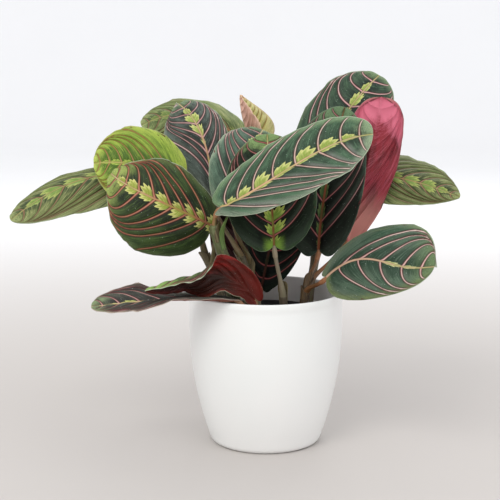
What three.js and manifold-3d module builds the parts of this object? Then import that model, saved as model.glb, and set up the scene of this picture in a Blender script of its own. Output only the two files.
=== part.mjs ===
// A potted prayer plant: broad herringbone-veined leaves on clasping stalks, rooted in the
// soil of a thin nursery pot that stands inside a round white cover pot.
// Units are millimetres and +Z is up. The origin is the centre of the pot's underside,
// +X is to the right of the plant's front view and -Y points out of the front.

import * as THREE from "three";
import { mergeVertices } from "three/addons/utils/BufferGeometryUtils.js";
import Module from "manifold-3d";

const wasm = await Module();
wasm.setup();

// Cover pot
const POT_HEIGHT = 120;
const POT_RADIUS = 60;
const POT_WALL = 2.2;
const POT_FLOOR = 3;
const POT_TAPER = 17.6; // how far the side leans in at the foot
const POT_TAPER_HEIGHT = 96; // above this height the side is upright
const POT_FOOT_ROUND = 3.4;
const POT_SIDES = 40;

// Nursery pot inside it
const GROW_POT_HEIGHT = 97.5;
const GROW_POT_RIM_RADIUS = 52.5;
const GROW_POT_FOOT_RADIUS = 39;
const GROW_POT_WALL = 1.4;
const GROW_POT_LIP = 6; // height of the stepped-out collar below its rim
const GROW_POT_LIP_STEP = 1.2;

// Soil
const SOIL_BELOW_RIM = 9;
const SOIL_DOME = 3;
const HOLE_DEPTH = 34;
const HOLE_PLAY = 0.4; // a stem's hole is this much wider in radius

const SEAT_GAP = 0.3; // clearance kept between pieces that touch

// Leaves
const BLADE_THICKNESS = 0.8;
const VEIN_PAIRS = 7;
const STRIPS_PER_HALF = 3;
const PANEL_RISE = 0.9; // how far the skin swells between two veins
const KEEL_DEPTH = 1.1; // the midrib stands this far below the blade at its base
const VEIN_REACH = 0.75; // how far a side vein runs on towards the tip before it meets the edge
const VEIN_REACH_START = 0.22;
const LOBE = 0.045; // the two lobes beside the stalk reach back this share of the length
const LOBE_LENGTH = 0.06;
const LOBE_BLUNT = 0.8; // below 1 the outline's end is blunter than an ellipse, above 1 more pointed
const TIP_BLUNT = 1.1;
const WIDEST = [0.5, 0.5]; // where the left and the right half are widest
const HALVES = [1, 1]; // how wide they are beside each other
const BASE_ROW = 0.35; // one more row of points rounds the lobes
const TURN_START = 0.4; // a twisted leaf turns over between these shares of its length
const TURN_END = 0.72;
const WAVES = 3; // along each edge

// Stems and stalks
const STEM_RADII = [3.8, 2.8]; // at the soil and at the top
const STEM_SIDES = 8;
const STEM_STEPS = 6;
const SHEATH_RADIUS = 2.6; // where the stalk clasps the stem
const SHEATH_SHARE = 0.45; // of the stalk's length
const STALK_RADIUS = 1.5;
const JOINT_RADIUS = 1.9; // the swollen joint just below the blade
const JOINT_LENGTH = 9;
const STALK_END_RADIUS = 0.9;
const STALK_END_BACK = 1.3; // the stalk stops this far behind the notch between the lobes
const STALK_END_TAPER = 2.5;
const STALK_LEAVE = 0.25; // share of its length over which a stalk still follows the stem
const STALK_ARRIVE = 0.35; // and over which it already points the leaf's way
const STALK_SIDES = 6;
const STALK_STEPS = 8;

const radians = THREE.MathUtils.degToRad;
const vec = (list) => new THREE.Vector3(...list);
const mix = THREE.MathUtils.lerp;

// Materials
const whiteGlaze = new THREE.MeshStandardMaterial({ color: 0xe9e8e6, roughness: 0.35, metalness: 0 });
const blackPlastic = new THREE.MeshStandardMaterial({ color: 0x1c1b1a, roughness: 0.6, metalness: 0 });
const pottingSoil = new THREE.MeshStandardMaterial({ color: 0x2b211a, roughness: 1, metalness: 0 });
const darkBlade = new THREE.MeshStandardMaterial({ color: 0x2f4a32, roughness: 0.55, metalness: 0 });
const oliveBlade = new THREE.MeshStandardMaterial({ color: 0x6a7f38, roughness: 0.55, metalness: 0 });
const limeBlade = new THREE.MeshStandardMaterial({ color: 0x93b04a, roughness: 0.55, metalness: 0 });
const redBlade = new THREE.MeshStandardMaterial({ color: 0x8f2f3a, roughness: 0.5, metalness: 0 });
const stalkSkin = new THREE.MeshStandardMaterial({ color: 0x6d5a36, roughness: 0.6, metalness: 0 });

// Each leaf is placed by the two ends of its midrib. bow is how far the midrib's middle
// stands off the straight line between them, and droop is added to it towards the tip.
// face is the way the upper side looks. fold and curl are in degrees for the left and the
// right half, seen from above with the tip away: a fold lifts the half at the midrib, and a
// curl goes on turning it up towards the edge. wave is the edge's rise and fall. turn twists
// the outer part of the leaf about its midrib, in degrees. widest is the share of its length
// where each half is widest if that isn't the middle, halves is how wide each half is as a
// share of half the width, and a blunt below 1 rounds the tip.
// arrive is the way the stalk runs into the leaf where that isn't along the midrib, and seat
// is how far behind the blade the stalk stops where that isn't the common distance. reach is
// how far the side veins run on where that isn't the common share.
const LEAVES = {
  front_long: {
    base: [-33, -44, 190], tip: [75, -66, 245], bow: [0, 0, -1], droop: [0, 0, 13],
    face: [-3, -8, 6], width: 64, fold: [4, 24], curl: [-6, -10], wave: 1,
    widest: [0.42, 0.64], halves: [0.84, 1.2], blunt: 0.75, seat: 2, skin: darkBlade,
  },
  front_left: {
    base: [-42, -22, 174], tip: [-116, -24, 213], bow: [0, -26, 2], droop: [-6, -6, 0],
    face: [-3, -10, 3], width: 78, fold: [-8, -4], curl: [-30, -22], wave: 1,
    widest: [0.46, 0.5], halves: [1.08, 0.86], blunt: 1.25, skin: darkBlade,
  },
  left_lime: {
    base: [-68, 2, 203], tip: [-132, 0, 218], bow: [0, -4, 7],
    face: [-1, -8, 5], width: 66, fold: [4, 4], curl: [-8, -8], wave: 1.5, seat: 0.8, skin: limeBlade,
  },
  left_far: {
    base: [-79, 22, 206], tip: [-193, -20, 177], bow: [0, 0, 14], droop: [0, 0, 4],
    face: [0, -4, 8], width: 60, fold: [-12, -12], curl: [-22, -16], wave: 1.5,
    seat: 1.5, skin: oliveBlade,
  },
  upper_left: {
    base: [-41, 16, 190], tip: [-71, 80, 260], bow: [6, -6, 10],
    face: [-4, -8, 5], width: 58, fold: [6, -24], curl: [-10, -14], wave: 1,
    widest: [0.66, 0.6], halves: [1.04, 0.75], blunt: 0.8, seat: 2.6, skin: darkBlade,
  },
  upper_middle: {
    base: [-24, -12, 182], tip: [-2, 44, 241], bow: [0, -8, 8],
    face: [-1, -8, 6], width: 60, fold: [8, -22], curl: [-14, -14], wave: 1,
    widest: [0.54, 0.54], blunt: 0.65, skin: darkBlade,
  },
  new_leaf: {
    base: [-8, 69, 226], tip: [-20, 71, 268], bow: [-3, 0, 0],
    face: [2, -8, 1], width: 56, fold: [90, -4], curl: [26, 20], wave: 1,
    widest: [0.34, 0.28], halves: [0.9, 0.8], blunt: 1.7, seat: 0.8, skin: limeBlade,
  },
  upper_back: {
    base: [-22, 96, 232], tip: [-104, 98, 241], bow: [0, 0, 14],
    face: [-1, -6, 8], width: 62, fold: [-6, -6], curl: [-16, -16], wave: 1, skin: oliveBlade,
  },
  upper_right: {
    base: [35, 26, 206], tip: [92, 58, 284], bow: [-1, -6, 8],
    face: [-3, -8, 5], width: 68, fold: [4, -6], curl: [-16, -16], wave: 1,
    blunt: 0.9, skin: darkBlade,
  },
  red_back: {
    base: [63.5, 8, 157], tip: [90, 22, 268], bow: [-1, -6, 0], droop: [4, 0, 0],
    face: [4, 8, 2], width: 50, fold: [26, 2], curl: [30, 0], wave: 1,
    widest: [0.6, 0.6], blunt: 0.6, arrive: [4, 3, 8], seat: 2.5, skin: redBlade,
  },
  right_far: {
    base: [66, 44, 206], tip: [152, 15, 190], bow: [0, 0, 8],
    face: [0, -4, 8], width: 62, fold: [0, -18], curl: [-12, -22], wave: 1.5,
    widest: [0.42, 0.42], halves: [1.15, 0.9], blunt: 1.4, skin: oliveBlade,
  },
  right_low: {
    base: [45, -38, 137], tip: [118, -84, 153], bow: [0, -4, 12], droop: [0, 0, -6],
    face: [-1, -8, 6], width: 58, fold: [4, -14], curl: [-12, -22], wave: 1,
    widest: [0.66, 0.4], halves: [1.12, 0.95], arrive: [5, -4, 8], seat: 1.7, skin: darkBlade,
  },
  centre_front: {
    base: [6, -28, 159], tip: [1, 10, 240], bow: [0, -8, 0],
    face: [0, -9, 4], width: 70, fold: [6, 6], curl: [-14, -14], wave: 1, skin: darkBlade,
  },
  centre_right: {
    base: [41, 2, 151], tip: [62, 24, 260], bow: [-6, -8, 0],
    face: [-1, -9, 2], width: 62, fold: [10, 10], curl: [-10, -10], wave: 1, skin: darkBlade,
  },
  centre_low: {
    base: [-3, 12, 120], tip: [14, 30, 204], bow: [0, -6, 0],
    face: [0, -9, 2], width: 52, fold: [6, 6], curl: [-10, -10], wave: 1,
    widest: [0.58, 0.6], halves: [0.8, 1.05], seat: 2, skin: darkBlade,
  },
  curled_red: {
    base: [-9, -34, 119], tip: [-88, -70, 133], bow: [7, 5, 14],
    face: [0, 9, -1], width: 34, fold: [4, -58], curl: [-12, -10], wave: 2,
    reach: 0.2, turn: -105, arrive: [-3, -5, 9], seat: 2.2, skin: redBlade,
  },
  left_low: {
    base: [-24, -50, 121.8], tip: [-128, -62, 119], bow: [0, 0, 3],
    face: [0, 0.5, 9], width: 42, fold: [10, 8], curl: [-6, -4], wave: 1.5,
    widest: [0.62, 0.6], halves: [0.72, 0.95], turn: -28, seat: 3.4, skin: darkBlade,
  },
  back_left: {
    base: [-46, 58, 170], tip: [-104, 146, 168], bow: [0, 0, 16], droop: [0, 0, 2],
    face: [-2, 4, 9], width: 62, fold: [-4, -4], curl: [-16, -16], wave: 1.5, skin: darkBlade,
  },
  back_middle: {
    base: [-2, 66, 160], tip: [-10, 170, 146], bow: [0, 0, 18], droop: [0, 0, 2],
    face: [0, 4, 9], width: 62, fold: [-4, -4], curl: [-16, -16], wave: 1.5, skin: darkBlade,
  },
  back_right: {
    base: [40, 60, 178], tip: [96, 140, 186], bow: [0, 0, 16], droop: [0, 0, 2],
    face: [2, 3, 9], width: 60, fold: [-4, -4], curl: [-16, -16], wave: 1.5, skin: darkBlade,
  },
  back_low: {
    base: [-20, 22, 124], tip: [-28, 42, 194], bow: [0, 3, 0],
    face: [-1, 9, 2], width: 42, fold: [4, 4], curl: [-16, -16], wave: 1.5, seat: 1.6, skin: darkBlade,
  },
};

// Each shoot stands in the soil at root and its stem ends at top. A leaf's stalk leaves the
// stem at the given share of the stem's rise.
const SHOOTS = {
  front_left: { root: [-23, -29], top: [-39, -39, 177], radii: [5, 3.9], leaves: { front_long: 0.92 } },
  left: { root: [-31, -8], top: [-48, 2, 150], leaves: { front_left: 0.6, left_lime: 0.9, left_far: 0.8 } },
  middle_left: { root: [-7, -12], top: [-19, -7, 148], leaves: { upper_left: 0.9 } },
  middle: { root: [-14, 5], top: [-11, 5, 138], leaves: { upper_middle: 0.9 } },
  back: {
    root: [-8, 30], top: [-6, 44, 150],
    leaves: { new_leaf: 0.9, upper_back: 0.8, back_middle: 0.7, back_low: 0.3 },
  },
  back_left: { root: [-33, 20], top: [-40, 34, 130], leaves: { back_left: 0.9 } },
  front: { root: [14, -25], top: [13, -26, 120], leaves: { centre_front: 0.9 } },
  low: { root: [-8, -2], top: [-6, 4, 106], leaves: { centre_low: 0.8 } },
  front_low: { root: [-6, -31], top: [-7, -31, 108], radii: [3, 2.4], leaves: { curled_red: 0.9 } },
  front_edge: { root: [-10, -39], top: [-13, -46, 108], radii: [2.6, 2.2], leaves: { left_low: 0.8 } },
  right: {
    root: [28, -17], top: [32, -14, 130],
    leaves: { red_back: 0.7, right_low: 0.6, centre_right: 0.9 },
  },
  back_right: {
    root: [34, 16], top: [42, 28, 150],
    leaves: { upper_right: 0.9, right_far: 0.7, back_right: 0.8 },
  },
};

// The four control points of a leaf's midrib
function midribCurve(leaf) {
  const base = vec(leaf.base);
  const tip = vec(leaf.tip);
  const bow = vec(leaf.bow).multiplyScalar(4 / 3);
  const droop = vec(leaf.droop ?? [0, 0, 0]).multiplyScalar(4 / 3);
  const near = base.clone().lerp(tip, 1 / 3).add(bow);
  const far = base.clone().lerp(tip, 2 / 3).add(bow).add(droop);
  return new THREE.CubicBezierCurve3(base, near, far, tip);
}

// A half's width at a share a of the blade's length, as a share of the greatest, which it
// reaches at the share widest
function outline(a, widest, blunt = TIP_BLUNT) {
  const share = (Math.max(a, 0) + LOBE) / (1 + LOBE);
  const along = share ** (Math.log(0.5) / Math.log(widest));
  return Math.sin(Math.acos(1 - 2 * along)) ** mix(LOBE_BLUNT, blunt, along);
}

// Where the line that leaves the midrib at t meets the share v of the half's width
function alongBlade(t, v, veinReach = VEIN_REACH) {
  const reach = veinReach * (1 - Math.exp(-t / VEIN_REACH_START)) * (1 - t);
  const lobe = LOBE * Math.exp(-t / LOBE_LENGTH) * 4 * v * (1 - v);
  return t + reach * (0.3 * v + 0.7 * v ** 2.2) - lobe;
}

// Veins stand closer together at both ends of the blade
function veinPlace(share) {
  return 0.5 * share + 0.25 * (1 - Math.cos(Math.PI * share));
}

// How far a twisted leaf has turned over at a share a of its length
function turned(leaf, a) {
  return radians(leaf.turn ?? 0) * THREE.MathUtils.smoothstep(a, TURN_START, TURN_END);
}

// A point of the blade's upper side, and the way that side looks there. share is the row's
// place among the veins, and across runs from -1 at the left edge to 1 at the right edge.
function bladePoint(leaf, curve, share, across) {
  const v = Math.abs(across);
  const half = across < 0 ? 0 : 1;
  const a = alongBlade(veinPlace(share), v, leaf.reach);
  const place = Math.max(a, 0);
  const along = curve.getTangent(place);
  const up = vec(leaf.face);
  up.addScaledVector(along, -up.dot(along)).normalize().applyAxisAngle(along, turned(leaf, place));
  const side = along.clone().cross(up).multiplyScalar(across < 0 ? -1 : 1);
  const breadth = outline(a, (leaf.widest ?? WIDEST)[half], leaf.blunt);
  const arc = v * breadth * leaf.width / 2 * (leaf.halves ?? HALVES)[half];
  const fold = radians(leaf.fold[half]);
  const turn = radians(leaf.curl[half]) * breadth * v + 1e-6;
  const out = arc * (Math.sin(fold + turn) - Math.sin(fold)) / turn;
  const rise = arc * (Math.cos(fold) - Math.cos(fold + turn)) / turn;
  const point = curve.getPoint(place).addScaledVector(side, out).addScaledVector(up, rise);
  point.addScaledVector(along, (a - place) * curve.getLength());
  // On the midrib the way is halfway between those of the two halves
  const lean = v === 0 ? radians(leaf.fold[1] - leaf.fold[0]) / 2 : fold + turn;
  const normal = up.multiplyScalar(Math.cos(lean)).addScaledVector(side, -Math.sin(lean));
  const panel = PANEL_RISE * Math.sin(Math.PI * share * (VEIN_PAIRS + 1)) ** 2 * 4 * v * (1 - v);
  const wave = leaf.wave * v ** 3 * breadth * Math.sin(2 * Math.PI * (WAVES * place + 0.3 * half));
  point.addScaledVector(normal, panel + wave);
  return { point, normal, place, v };
}

// A closed blade: an upper skin, a lower skin with the midrib's keel, and the edge between
function leafBlade(leaf) {
  const curve = midribCurve(leaf);
  const rowCount = 2 * (VEIN_PAIRS + 1);
  const shares = [0, BASE_ROW];
  for (let row = 1; row <= rowCount; row++) shares.push(row);
  const columns = 2 * STRIPS_PER_HALF;
  const last = shares.length - 1;
  const points = [];
  const faces = [];
  const grid = shares.map((share, row) => {
    const line = [];
    for (let column = 0; column <= columns; column++) {
      if (row === last && column > 0) {
        line.push(line[0]);
        continue;
      }
      const across = row === last ? 0 : column / STRIPS_PER_HALF - 1;
      const { point, normal, place, v } = bladePoint(leaf, curve, share / rowCount, across);
      const keel = v === 0 ? KEEL_DEPTH * (1 - place) : 0;
      line.push(points.length);
      points.push(point, point.clone().addScaledVector(normal, -(BLADE_THICKNESS + keel)));
    }
    return line;
  });
  // A triangle of upper points, and the one below it turned over
  const pair = (i, j, k) => {
    if (i === j || j === k || k === i) return;
    faces.push(i, j, k, i + 1, k + 1, j + 1);
  };
  const wall = (i, j) => faces.push(i, i + 1, j + 1, i, j + 1, j);
  for (let row = 0; row < last; row++) {
    for (let column = 0; column < columns; column++) {
      const [p, q] = grid[row].slice(column, column + 2);
      const [s, r] = grid[row + 1].slice(column, column + 2);
      // The same diagonal on both skins keeps them from crossing. In the first row it runs the
      // other way, since the lobe's outer corner lies almost on the common diagonal there.
      if ((column < STRIPS_PER_HALF) === (row > 0)) {
        pair(p, q, s);
        pair(q, r, s);
      } else {
        pair(p, q, r);
        pair(p, r, s);
      }
    }
    wall(grid[row + 1][0], grid[row][0]);
    wall(grid[row][columns], grid[row + 1][columns]);
  }
  for (let column = 0; column < columns; column++) wall(grid[0][column], grid[0][column + 1]);
  return { points, faces };
}

function geometryOf({ points, faces }) {
  const geometry = new THREE.BufferGeometry();
  const numbers = points.flatMap((p) => p.toArray());
  geometry.setAttribute("position", new THREE.Float32BufferAttribute(numbers, 3));
  geometry.setIndex(faces);
  return geometry;
}

// A closed round bar through the centres, with its own radius at each
function bar(centres, radii, sides) {
  const points = [];
  const faces = [];
  const last = centres.length - 1;
  const ahead = centres.map((_, i) => {
    const from = centres[Math.max(i - 1, 0)];
    const to = centres[Math.min(i + 1, last)];
    return to.clone().sub(from).normalize();
  });
  let across = new THREE.Vector3(1, 0, 0);
  centres.forEach((centre, i) => {
    across = across.addScaledVector(ahead[i], -across.dot(ahead[i])).normalize();
    const other = ahead[i].clone().cross(across);
    for (let side = 0; side < sides; side++) {
      const angle = (2 * Math.PI * side) / sides;
      const ray = across.clone().multiplyScalar(Math.cos(angle)).addScaledVector(other, Math.sin(angle));
      points.push(centre.clone().addScaledVector(ray, radii[i]));
    }
  });
  for (let i = 0; i < last; i++) {
    for (let side = 0; side < sides; side++) {
      const next = (side + 1) % sides;
      const [p, q] = [i * sides + side, i * sides + next];
      faces.push(p, q, q + sides, p, q + sides, p + sides);
    }
  }
  for (let side = 1; side < sides - 1; side++) {
    faces.push(0, side + 1, side);
    faces.push(last * sides, last * sides + side, last * sides + side + 1);
  }
  return geometryOf({ points, faces });
}

// A geometry as a manifold-3d solid, and back
function solid(geometry) {
  const plain = geometry.index ? geometry.toNonIndexed() : geometry.clone();
  plain.deleteAttribute("normal");
  plain.deleteAttribute("uv");
  const merged = mergeVertices(plain, 1e-4);
  const vertProperties = merged.attributes.position.array;
  const triVerts = new Uint32Array(merged.index.array);
  return new wasm.Manifold(new wasm.Mesh({ numProp: 3, vertProperties, triVerts }));
}

function geometryFrom(shape) {
  const mesh = shape.getMesh();
  const geometry = new THREE.BufferGeometry();
  geometry.setAttribute("position", new THREE.BufferAttribute(mesh.vertProperties, 3));
  geometry.setIndex(new THREE.BufferAttribute(mesh.triVerts, 1));
  return geometry;
}

const SOIL_TOP = SEAT_GAP + POT_FLOOR + GROW_POT_HEIGHT - SOIL_BELOW_RIM;
const HOLE_FLOOR = SOIL_TOP - HOLE_DEPTH;

// The stem's centre line: straight up through the soil, then on to its top
function stemCurve(shoot) {
  const foot = vec([...shoot.root, SOIL_TOP + SOIL_DOME + 1]);
  const top = vec(shoot.top);
  const rise = top.z - foot.z;
  const near = foot.clone().add(vec([0, 0, 0.45 * rise]));
  const far = foot.clone().lerp(top, 0.75);
  return new THREE.CubicBezierCurve3(foot, near, far, top);
}

function stemBar(shoot) {
  const curve = stemCurve(shoot);
  const centres = [vec([...shoot.root, HOLE_FLOOR + SEAT_GAP]), ...curve.getPoints(STEM_STEPS)];
  const [low, high] = shoot.radii ?? STEM_RADII;
  const radii = centres.map((_, i) => mix(low, high, Math.max(i - 1, 0) / STEM_STEPS));
  return bar(centres, radii, STEM_SIDES);
}

// A leaf's stalk, from inside the stem to the notch at the blade's base
function stalkBar(shoot, leaf, share) {
  const stem = stemCurve(shoot);
  const midrib = midribCurve(leaf);
  const along = midrib.getTangent(0);
  const { normal } = bladePoint(leaf, midrib, 0, 0);
  const end = midrib.getPoint(0).addScaledVector(along, -(leaf.seat ?? STALK_END_BACK));
  end.addScaledVector(normal, -(BLADE_THICKNESS + KEEL_DEPTH) / 2);
  const start = stem.getPoint(share);
  const reach = start.distanceTo(end);
  const arrive = leaf.arrive ? vec(leaf.arrive).normalize() : along;
  const near = start.clone().addScaledVector(stem.getTangent(share), STALK_LEAVE * reach);
  const far = end.clone().addScaledVector(arrive, -STALK_ARRIVE * reach);
  const curve = new THREE.CubicBezierCurve3(start, near, far, end);
  const length = curve.getLength();
  const centres = curve.getSpacedPoints(STALK_STEPS);
  centres.push(curve.getPointAt(1 - STALK_END_TAPER / length));
  centres.push(curve.getPointAt(1 - JOINT_LENGTH / length));
  centres.sort((a, b) => b.distanceTo(end) - a.distanceTo(end));
  const radii = centres.map((centre, i) => {
    if (i === centres.length - 1) return STALK_END_RADIUS;
    const left = centre.distanceTo(end);
    if (left < JOINT_LENGTH - 0.5) return JOINT_RADIUS;
    const clasp = THREE.MathUtils.smoothstep(left / length, 1 - SHEATH_SHARE, 1);
    return mix(STALK_RADIUS, SHEATH_RADIUS, clasp);
  });
  return bar(centres, radii, STALK_SIDES);
}

function shootSolid(shoot) {
  let shape = solid(stemBar(shoot));
  for (const [name, share] of Object.entries(shoot.leaves)) {
    shape = shape.add(solid(stalkBar(shoot, LEAVES[name], share)));
  }
  return geometryFrom(shape);
}

// The cover pot's outer radius at height z
function potRadius(z) {
  const lean = Math.max(1 - z / POT_TAPER_HEIGHT, 0);
  const foot = Math.max(1 - z / POT_FOOT_ROUND, 0);
  return POT_RADIUS - POT_TAPER * lean ** 2 - POT_FOOT_ROUND * (1 - Math.sqrt(1 - foot ** 2));
}

function lathe(profile, sides) {
  const points = profile.map(([r, z]) => new THREE.Vector2(r, z));
  return new THREE.LatheGeometry(points, sides).rotateX(Math.PI / 2);
}

function coverPot() {
  const outside = [0, 1, 3.4, 12, 24, 40, 60, POT_TAPER_HEIGHT, POT_HEIGHT - 1.2];
  const inside = [POT_FLOOR, 12, 24, 40, 60, POT_TAPER_HEIGHT, POT_HEIGHT - 0.8];
  const profile = [[0, 0], ...outside.map((z) => [potRadius(z), z])];
  profile.push([POT_RADIUS - 0.5, POT_HEIGHT - 0.2], [POT_RADIUS - POT_WALL / 2, POT_HEIGHT]);
  profile.push(...inside.reverse().map((z) => [potRadius(z) - POT_WALL, z]), [0, POT_FLOOR]);
  return lathe(profile, POT_SIDES);
}

function growPot() {
  const low = POT_FLOOR + SEAT_GAP;
  const rim = low + GROW_POT_HEIGHT;
  const neck = GROW_POT_RIM_RADIUS - GROW_POT_LIP_STEP;
  const inner = neck - GROW_POT_WALL;
  return lathe([
    [0, low], [GROW_POT_FOOT_RADIUS, low], [neck, rim - GROW_POT_LIP],
    [GROW_POT_RIM_RADIUS, rim - GROW_POT_LIP], [GROW_POT_RIM_RADIUS, rim], [inner, rim],
    [GROW_POT_FOOT_RADIUS - GROW_POT_WALL, low + GROW_POT_WALL], [0, low + GROW_POT_WALL],
  ], POT_SIDES);
}

// The inner radius of the nursery pot at height z
function growPotInner(z) {
  const low = POT_FLOOR + SEAT_GAP + GROW_POT_WALL;
  const inner = GROW_POT_RIM_RADIUS - GROW_POT_LIP_STEP - GROW_POT_WALL;
  return mix(GROW_POT_FOOT_RADIUS - GROW_POT_WALL, inner, (z - low) / (GROW_POT_HEIGHT - GROW_POT_WALL));
}

function soilBlock() {
  const low = POT_FLOOR + 2 * SEAT_GAP + GROW_POT_WALL;
  const edge = growPotInner(SOIL_TOP) - 2 * SEAT_GAP;
  const profile = [[0, low], [growPotInner(low) - 2 * SEAT_GAP, low], [edge, SOIL_TOP]];
  for (const share of [0.85, 0.65, 0.4, 0]) {
    profile.push([edge * share, SOIL_TOP + SOIL_DOME * (1 - share ** 2)]);
  }
  let shape = solid(lathe(profile, POT_SIDES / 2));
  for (const { root, radii = STEM_RADII } of Object.values(SHOOTS)) {
    const centres = [vec([...root, HOLE_FLOOR]), vec([...root, SOIL_TOP + 2 * SOIL_DOME])];
    const radius = radii[0] + HOLE_PLAY;
    shape = shape.subtract(solid(bar(centres, [radius, radius], STEM_SIDES)));
  }
  return geometryFrom(shape);
}

const plant = new THREE.Group();
function add(name, geometry, material) {
  const mesh = new THREE.Mesh(geometry, material);
  mesh.name = name;
  plant.add(mesh);
}

add("pot", coverPot(), whiteGlaze);
add("grow_pot", growPot(), blackPlastic);
add("soil", soilBlock(), pottingSoil);
for (const [name, shoot] of Object.entries(SHOOTS)) {
  add("shoot_" + name, shootSolid(shoot), stalkSkin);
}
for (const [name, leaf] of Object.entries(LEAVES)) {
  add("leaf_" + name, geometryOf(leafBlade(leaf)), leaf.skin);
}

export default plant;
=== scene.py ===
# %% [markdown]
# # A potted prayer plant
# The plant stands in a black nursery pot, and that in a white cover pot. Its solids come from the
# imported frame, which says where every piece is. This script dresses them: it makes finer leaves,
# stems, soil and pots at the same places, and gives each a finish made of shader nodes.

import math

import bpy
import numpy as np
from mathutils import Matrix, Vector, noise


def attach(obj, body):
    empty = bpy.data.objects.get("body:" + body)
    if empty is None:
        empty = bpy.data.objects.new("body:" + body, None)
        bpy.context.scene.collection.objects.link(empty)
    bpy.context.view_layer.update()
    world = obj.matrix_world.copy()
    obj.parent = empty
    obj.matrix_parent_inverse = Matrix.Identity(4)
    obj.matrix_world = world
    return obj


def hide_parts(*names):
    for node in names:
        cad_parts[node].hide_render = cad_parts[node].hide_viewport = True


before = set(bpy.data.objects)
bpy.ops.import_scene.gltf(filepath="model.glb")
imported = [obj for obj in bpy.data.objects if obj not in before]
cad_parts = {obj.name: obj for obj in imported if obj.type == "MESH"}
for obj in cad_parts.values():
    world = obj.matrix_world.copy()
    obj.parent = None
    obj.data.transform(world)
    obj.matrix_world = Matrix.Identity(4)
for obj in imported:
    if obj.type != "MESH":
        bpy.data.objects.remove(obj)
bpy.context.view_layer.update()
MM = 0.001
print("nodes in the frame:", len(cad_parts))

# %% [markdown]
# ## The camera
# A close photograph of a plant on a table is taken from about a metre away, a little above the pot's
# rim. The place, the tilt and the lens were worked out from the ellipses of the pot's rim and foot.
# The lens is given as a focal length for a 36 mm wide sensor.

# %% Camera
CAMERA_PLACE = (-0.0122, -0.918, 0.304)
CAMERA_TILT = 9.46
LENS = 86.4
SENSOR_WIDTH = 36


def add_object(name, data):
    thing = bpy.data.objects.new(name, data)
    bpy.context.scene.collection.objects.link(thing)
    return thing


camera_data = bpy.data.cameras.new("camera")
camera_data.lens = LENS
camera_data.sensor_width = SENSOR_WIDTH
camera = add_object("camera", camera_data)
camera.location = CAMERA_PLACE
camera.rotation_euler = (math.radians(90 - CAMERA_TILT), 0, 0)
bpy.context.scene.camera = camera
print("camera looks down by", CAMERA_TILT, "degrees")

# %% [markdown]
# ## Colours
# A colour is easiest to judge on a screen, and is written here as a screen colour. Shaders work with
# light, so each channel is turned into a share of light before a node gets it. Blender's own colour
# picker does the same sum when a screen code is typed into it.

# %% Screen colours to light
def light_share(channel):
    if channel <= 0.04045:
        return channel / 12.92
    return ((channel + 0.055) / 1.055) ** 2.4


def ink(code):
    channels = [int(code[i:i + 2], 16) / 255 for i in (0, 2, 4)]
    return (*[light_share(channel) for channel in channels], 1.0)


print("a leaf green as light:", [round(c, 3) for c in ink("2c4a3a")])

# %% [markdown]
# ## Arithmetic inside a material
# The pattern on a leaf is worked out from distances: how far a point is from a vein, from the midrib,
# from the margin. A shader can do such sums with Math nodes, but a dozen linked boxes are hard to
# read. A small class lets the sums be written as Python, and adds one node for each sign. A socket
# takes another node's wire, a plain number, or a screen colour, which is turned into light on the way.

# %% Wires
def feed(tree, socket, value):
    if isinstance(value, Wire):
        tree.links.new(value.socket, socket)
    else:
        socket.default_value = ink(value) if isinstance(value, str) else value


def add_node(tree, kind, output, inputs, **settings):
    """Add a node, feed its inputs, which are given by name or number, and return one output's wire."""
    node = tree.nodes.new("ShaderNode" + kind)
    for setting, value in settings.items():
        setattr(node, setting, value)
    for socket, value in inputs.items():
        feed(tree, node.inputs[socket], value)
    return Wire(tree, node.outputs[output])


class Wire:
    """A value that flows through a material."""

    def __init__(self, tree, socket):
        self.tree = tree
        self.socket = socket

    def math(self, operation, *others):
        inputs = dict(enumerate((self, *others)))
        return add_node(self.tree, "Math", 0, inputs, operation=operation)

    def __add__(self, other):
        return self.math("ADD", other)

    def __sub__(self, other):
        return self.math("SUBTRACT", other)

    def __mul__(self, other):
        return self.math("MULTIPLY", other)

    def __pow__(self, power):
        return self.math("POWER", power)

    def step(self, start, end):
        """0 before start and 1 after end, with a smooth rise between; start may be the larger."""
        inputs = {"Value": self, "From Min": start, "From Max": end}
        return add_node(self.tree, "MapRange", 0, inputs, interpolation_type="SMOOTHSTEP")


print("wires can be added, subtracted, multiplied, raised and stepped")

# %% [markdown]
# ## A material built up in coats
# A leaf's colours lie over each other: a ground, blotches, then veins. The same order works in a
# material, with one Mix node for each coat and a mask that says where it lies. That could be linked by
# hand in the shader editor, but a leaf takes over a hundred nodes, so a class adds them. Its place is
# the object's own, so a pattern stays on a piece that is moved.

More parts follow.
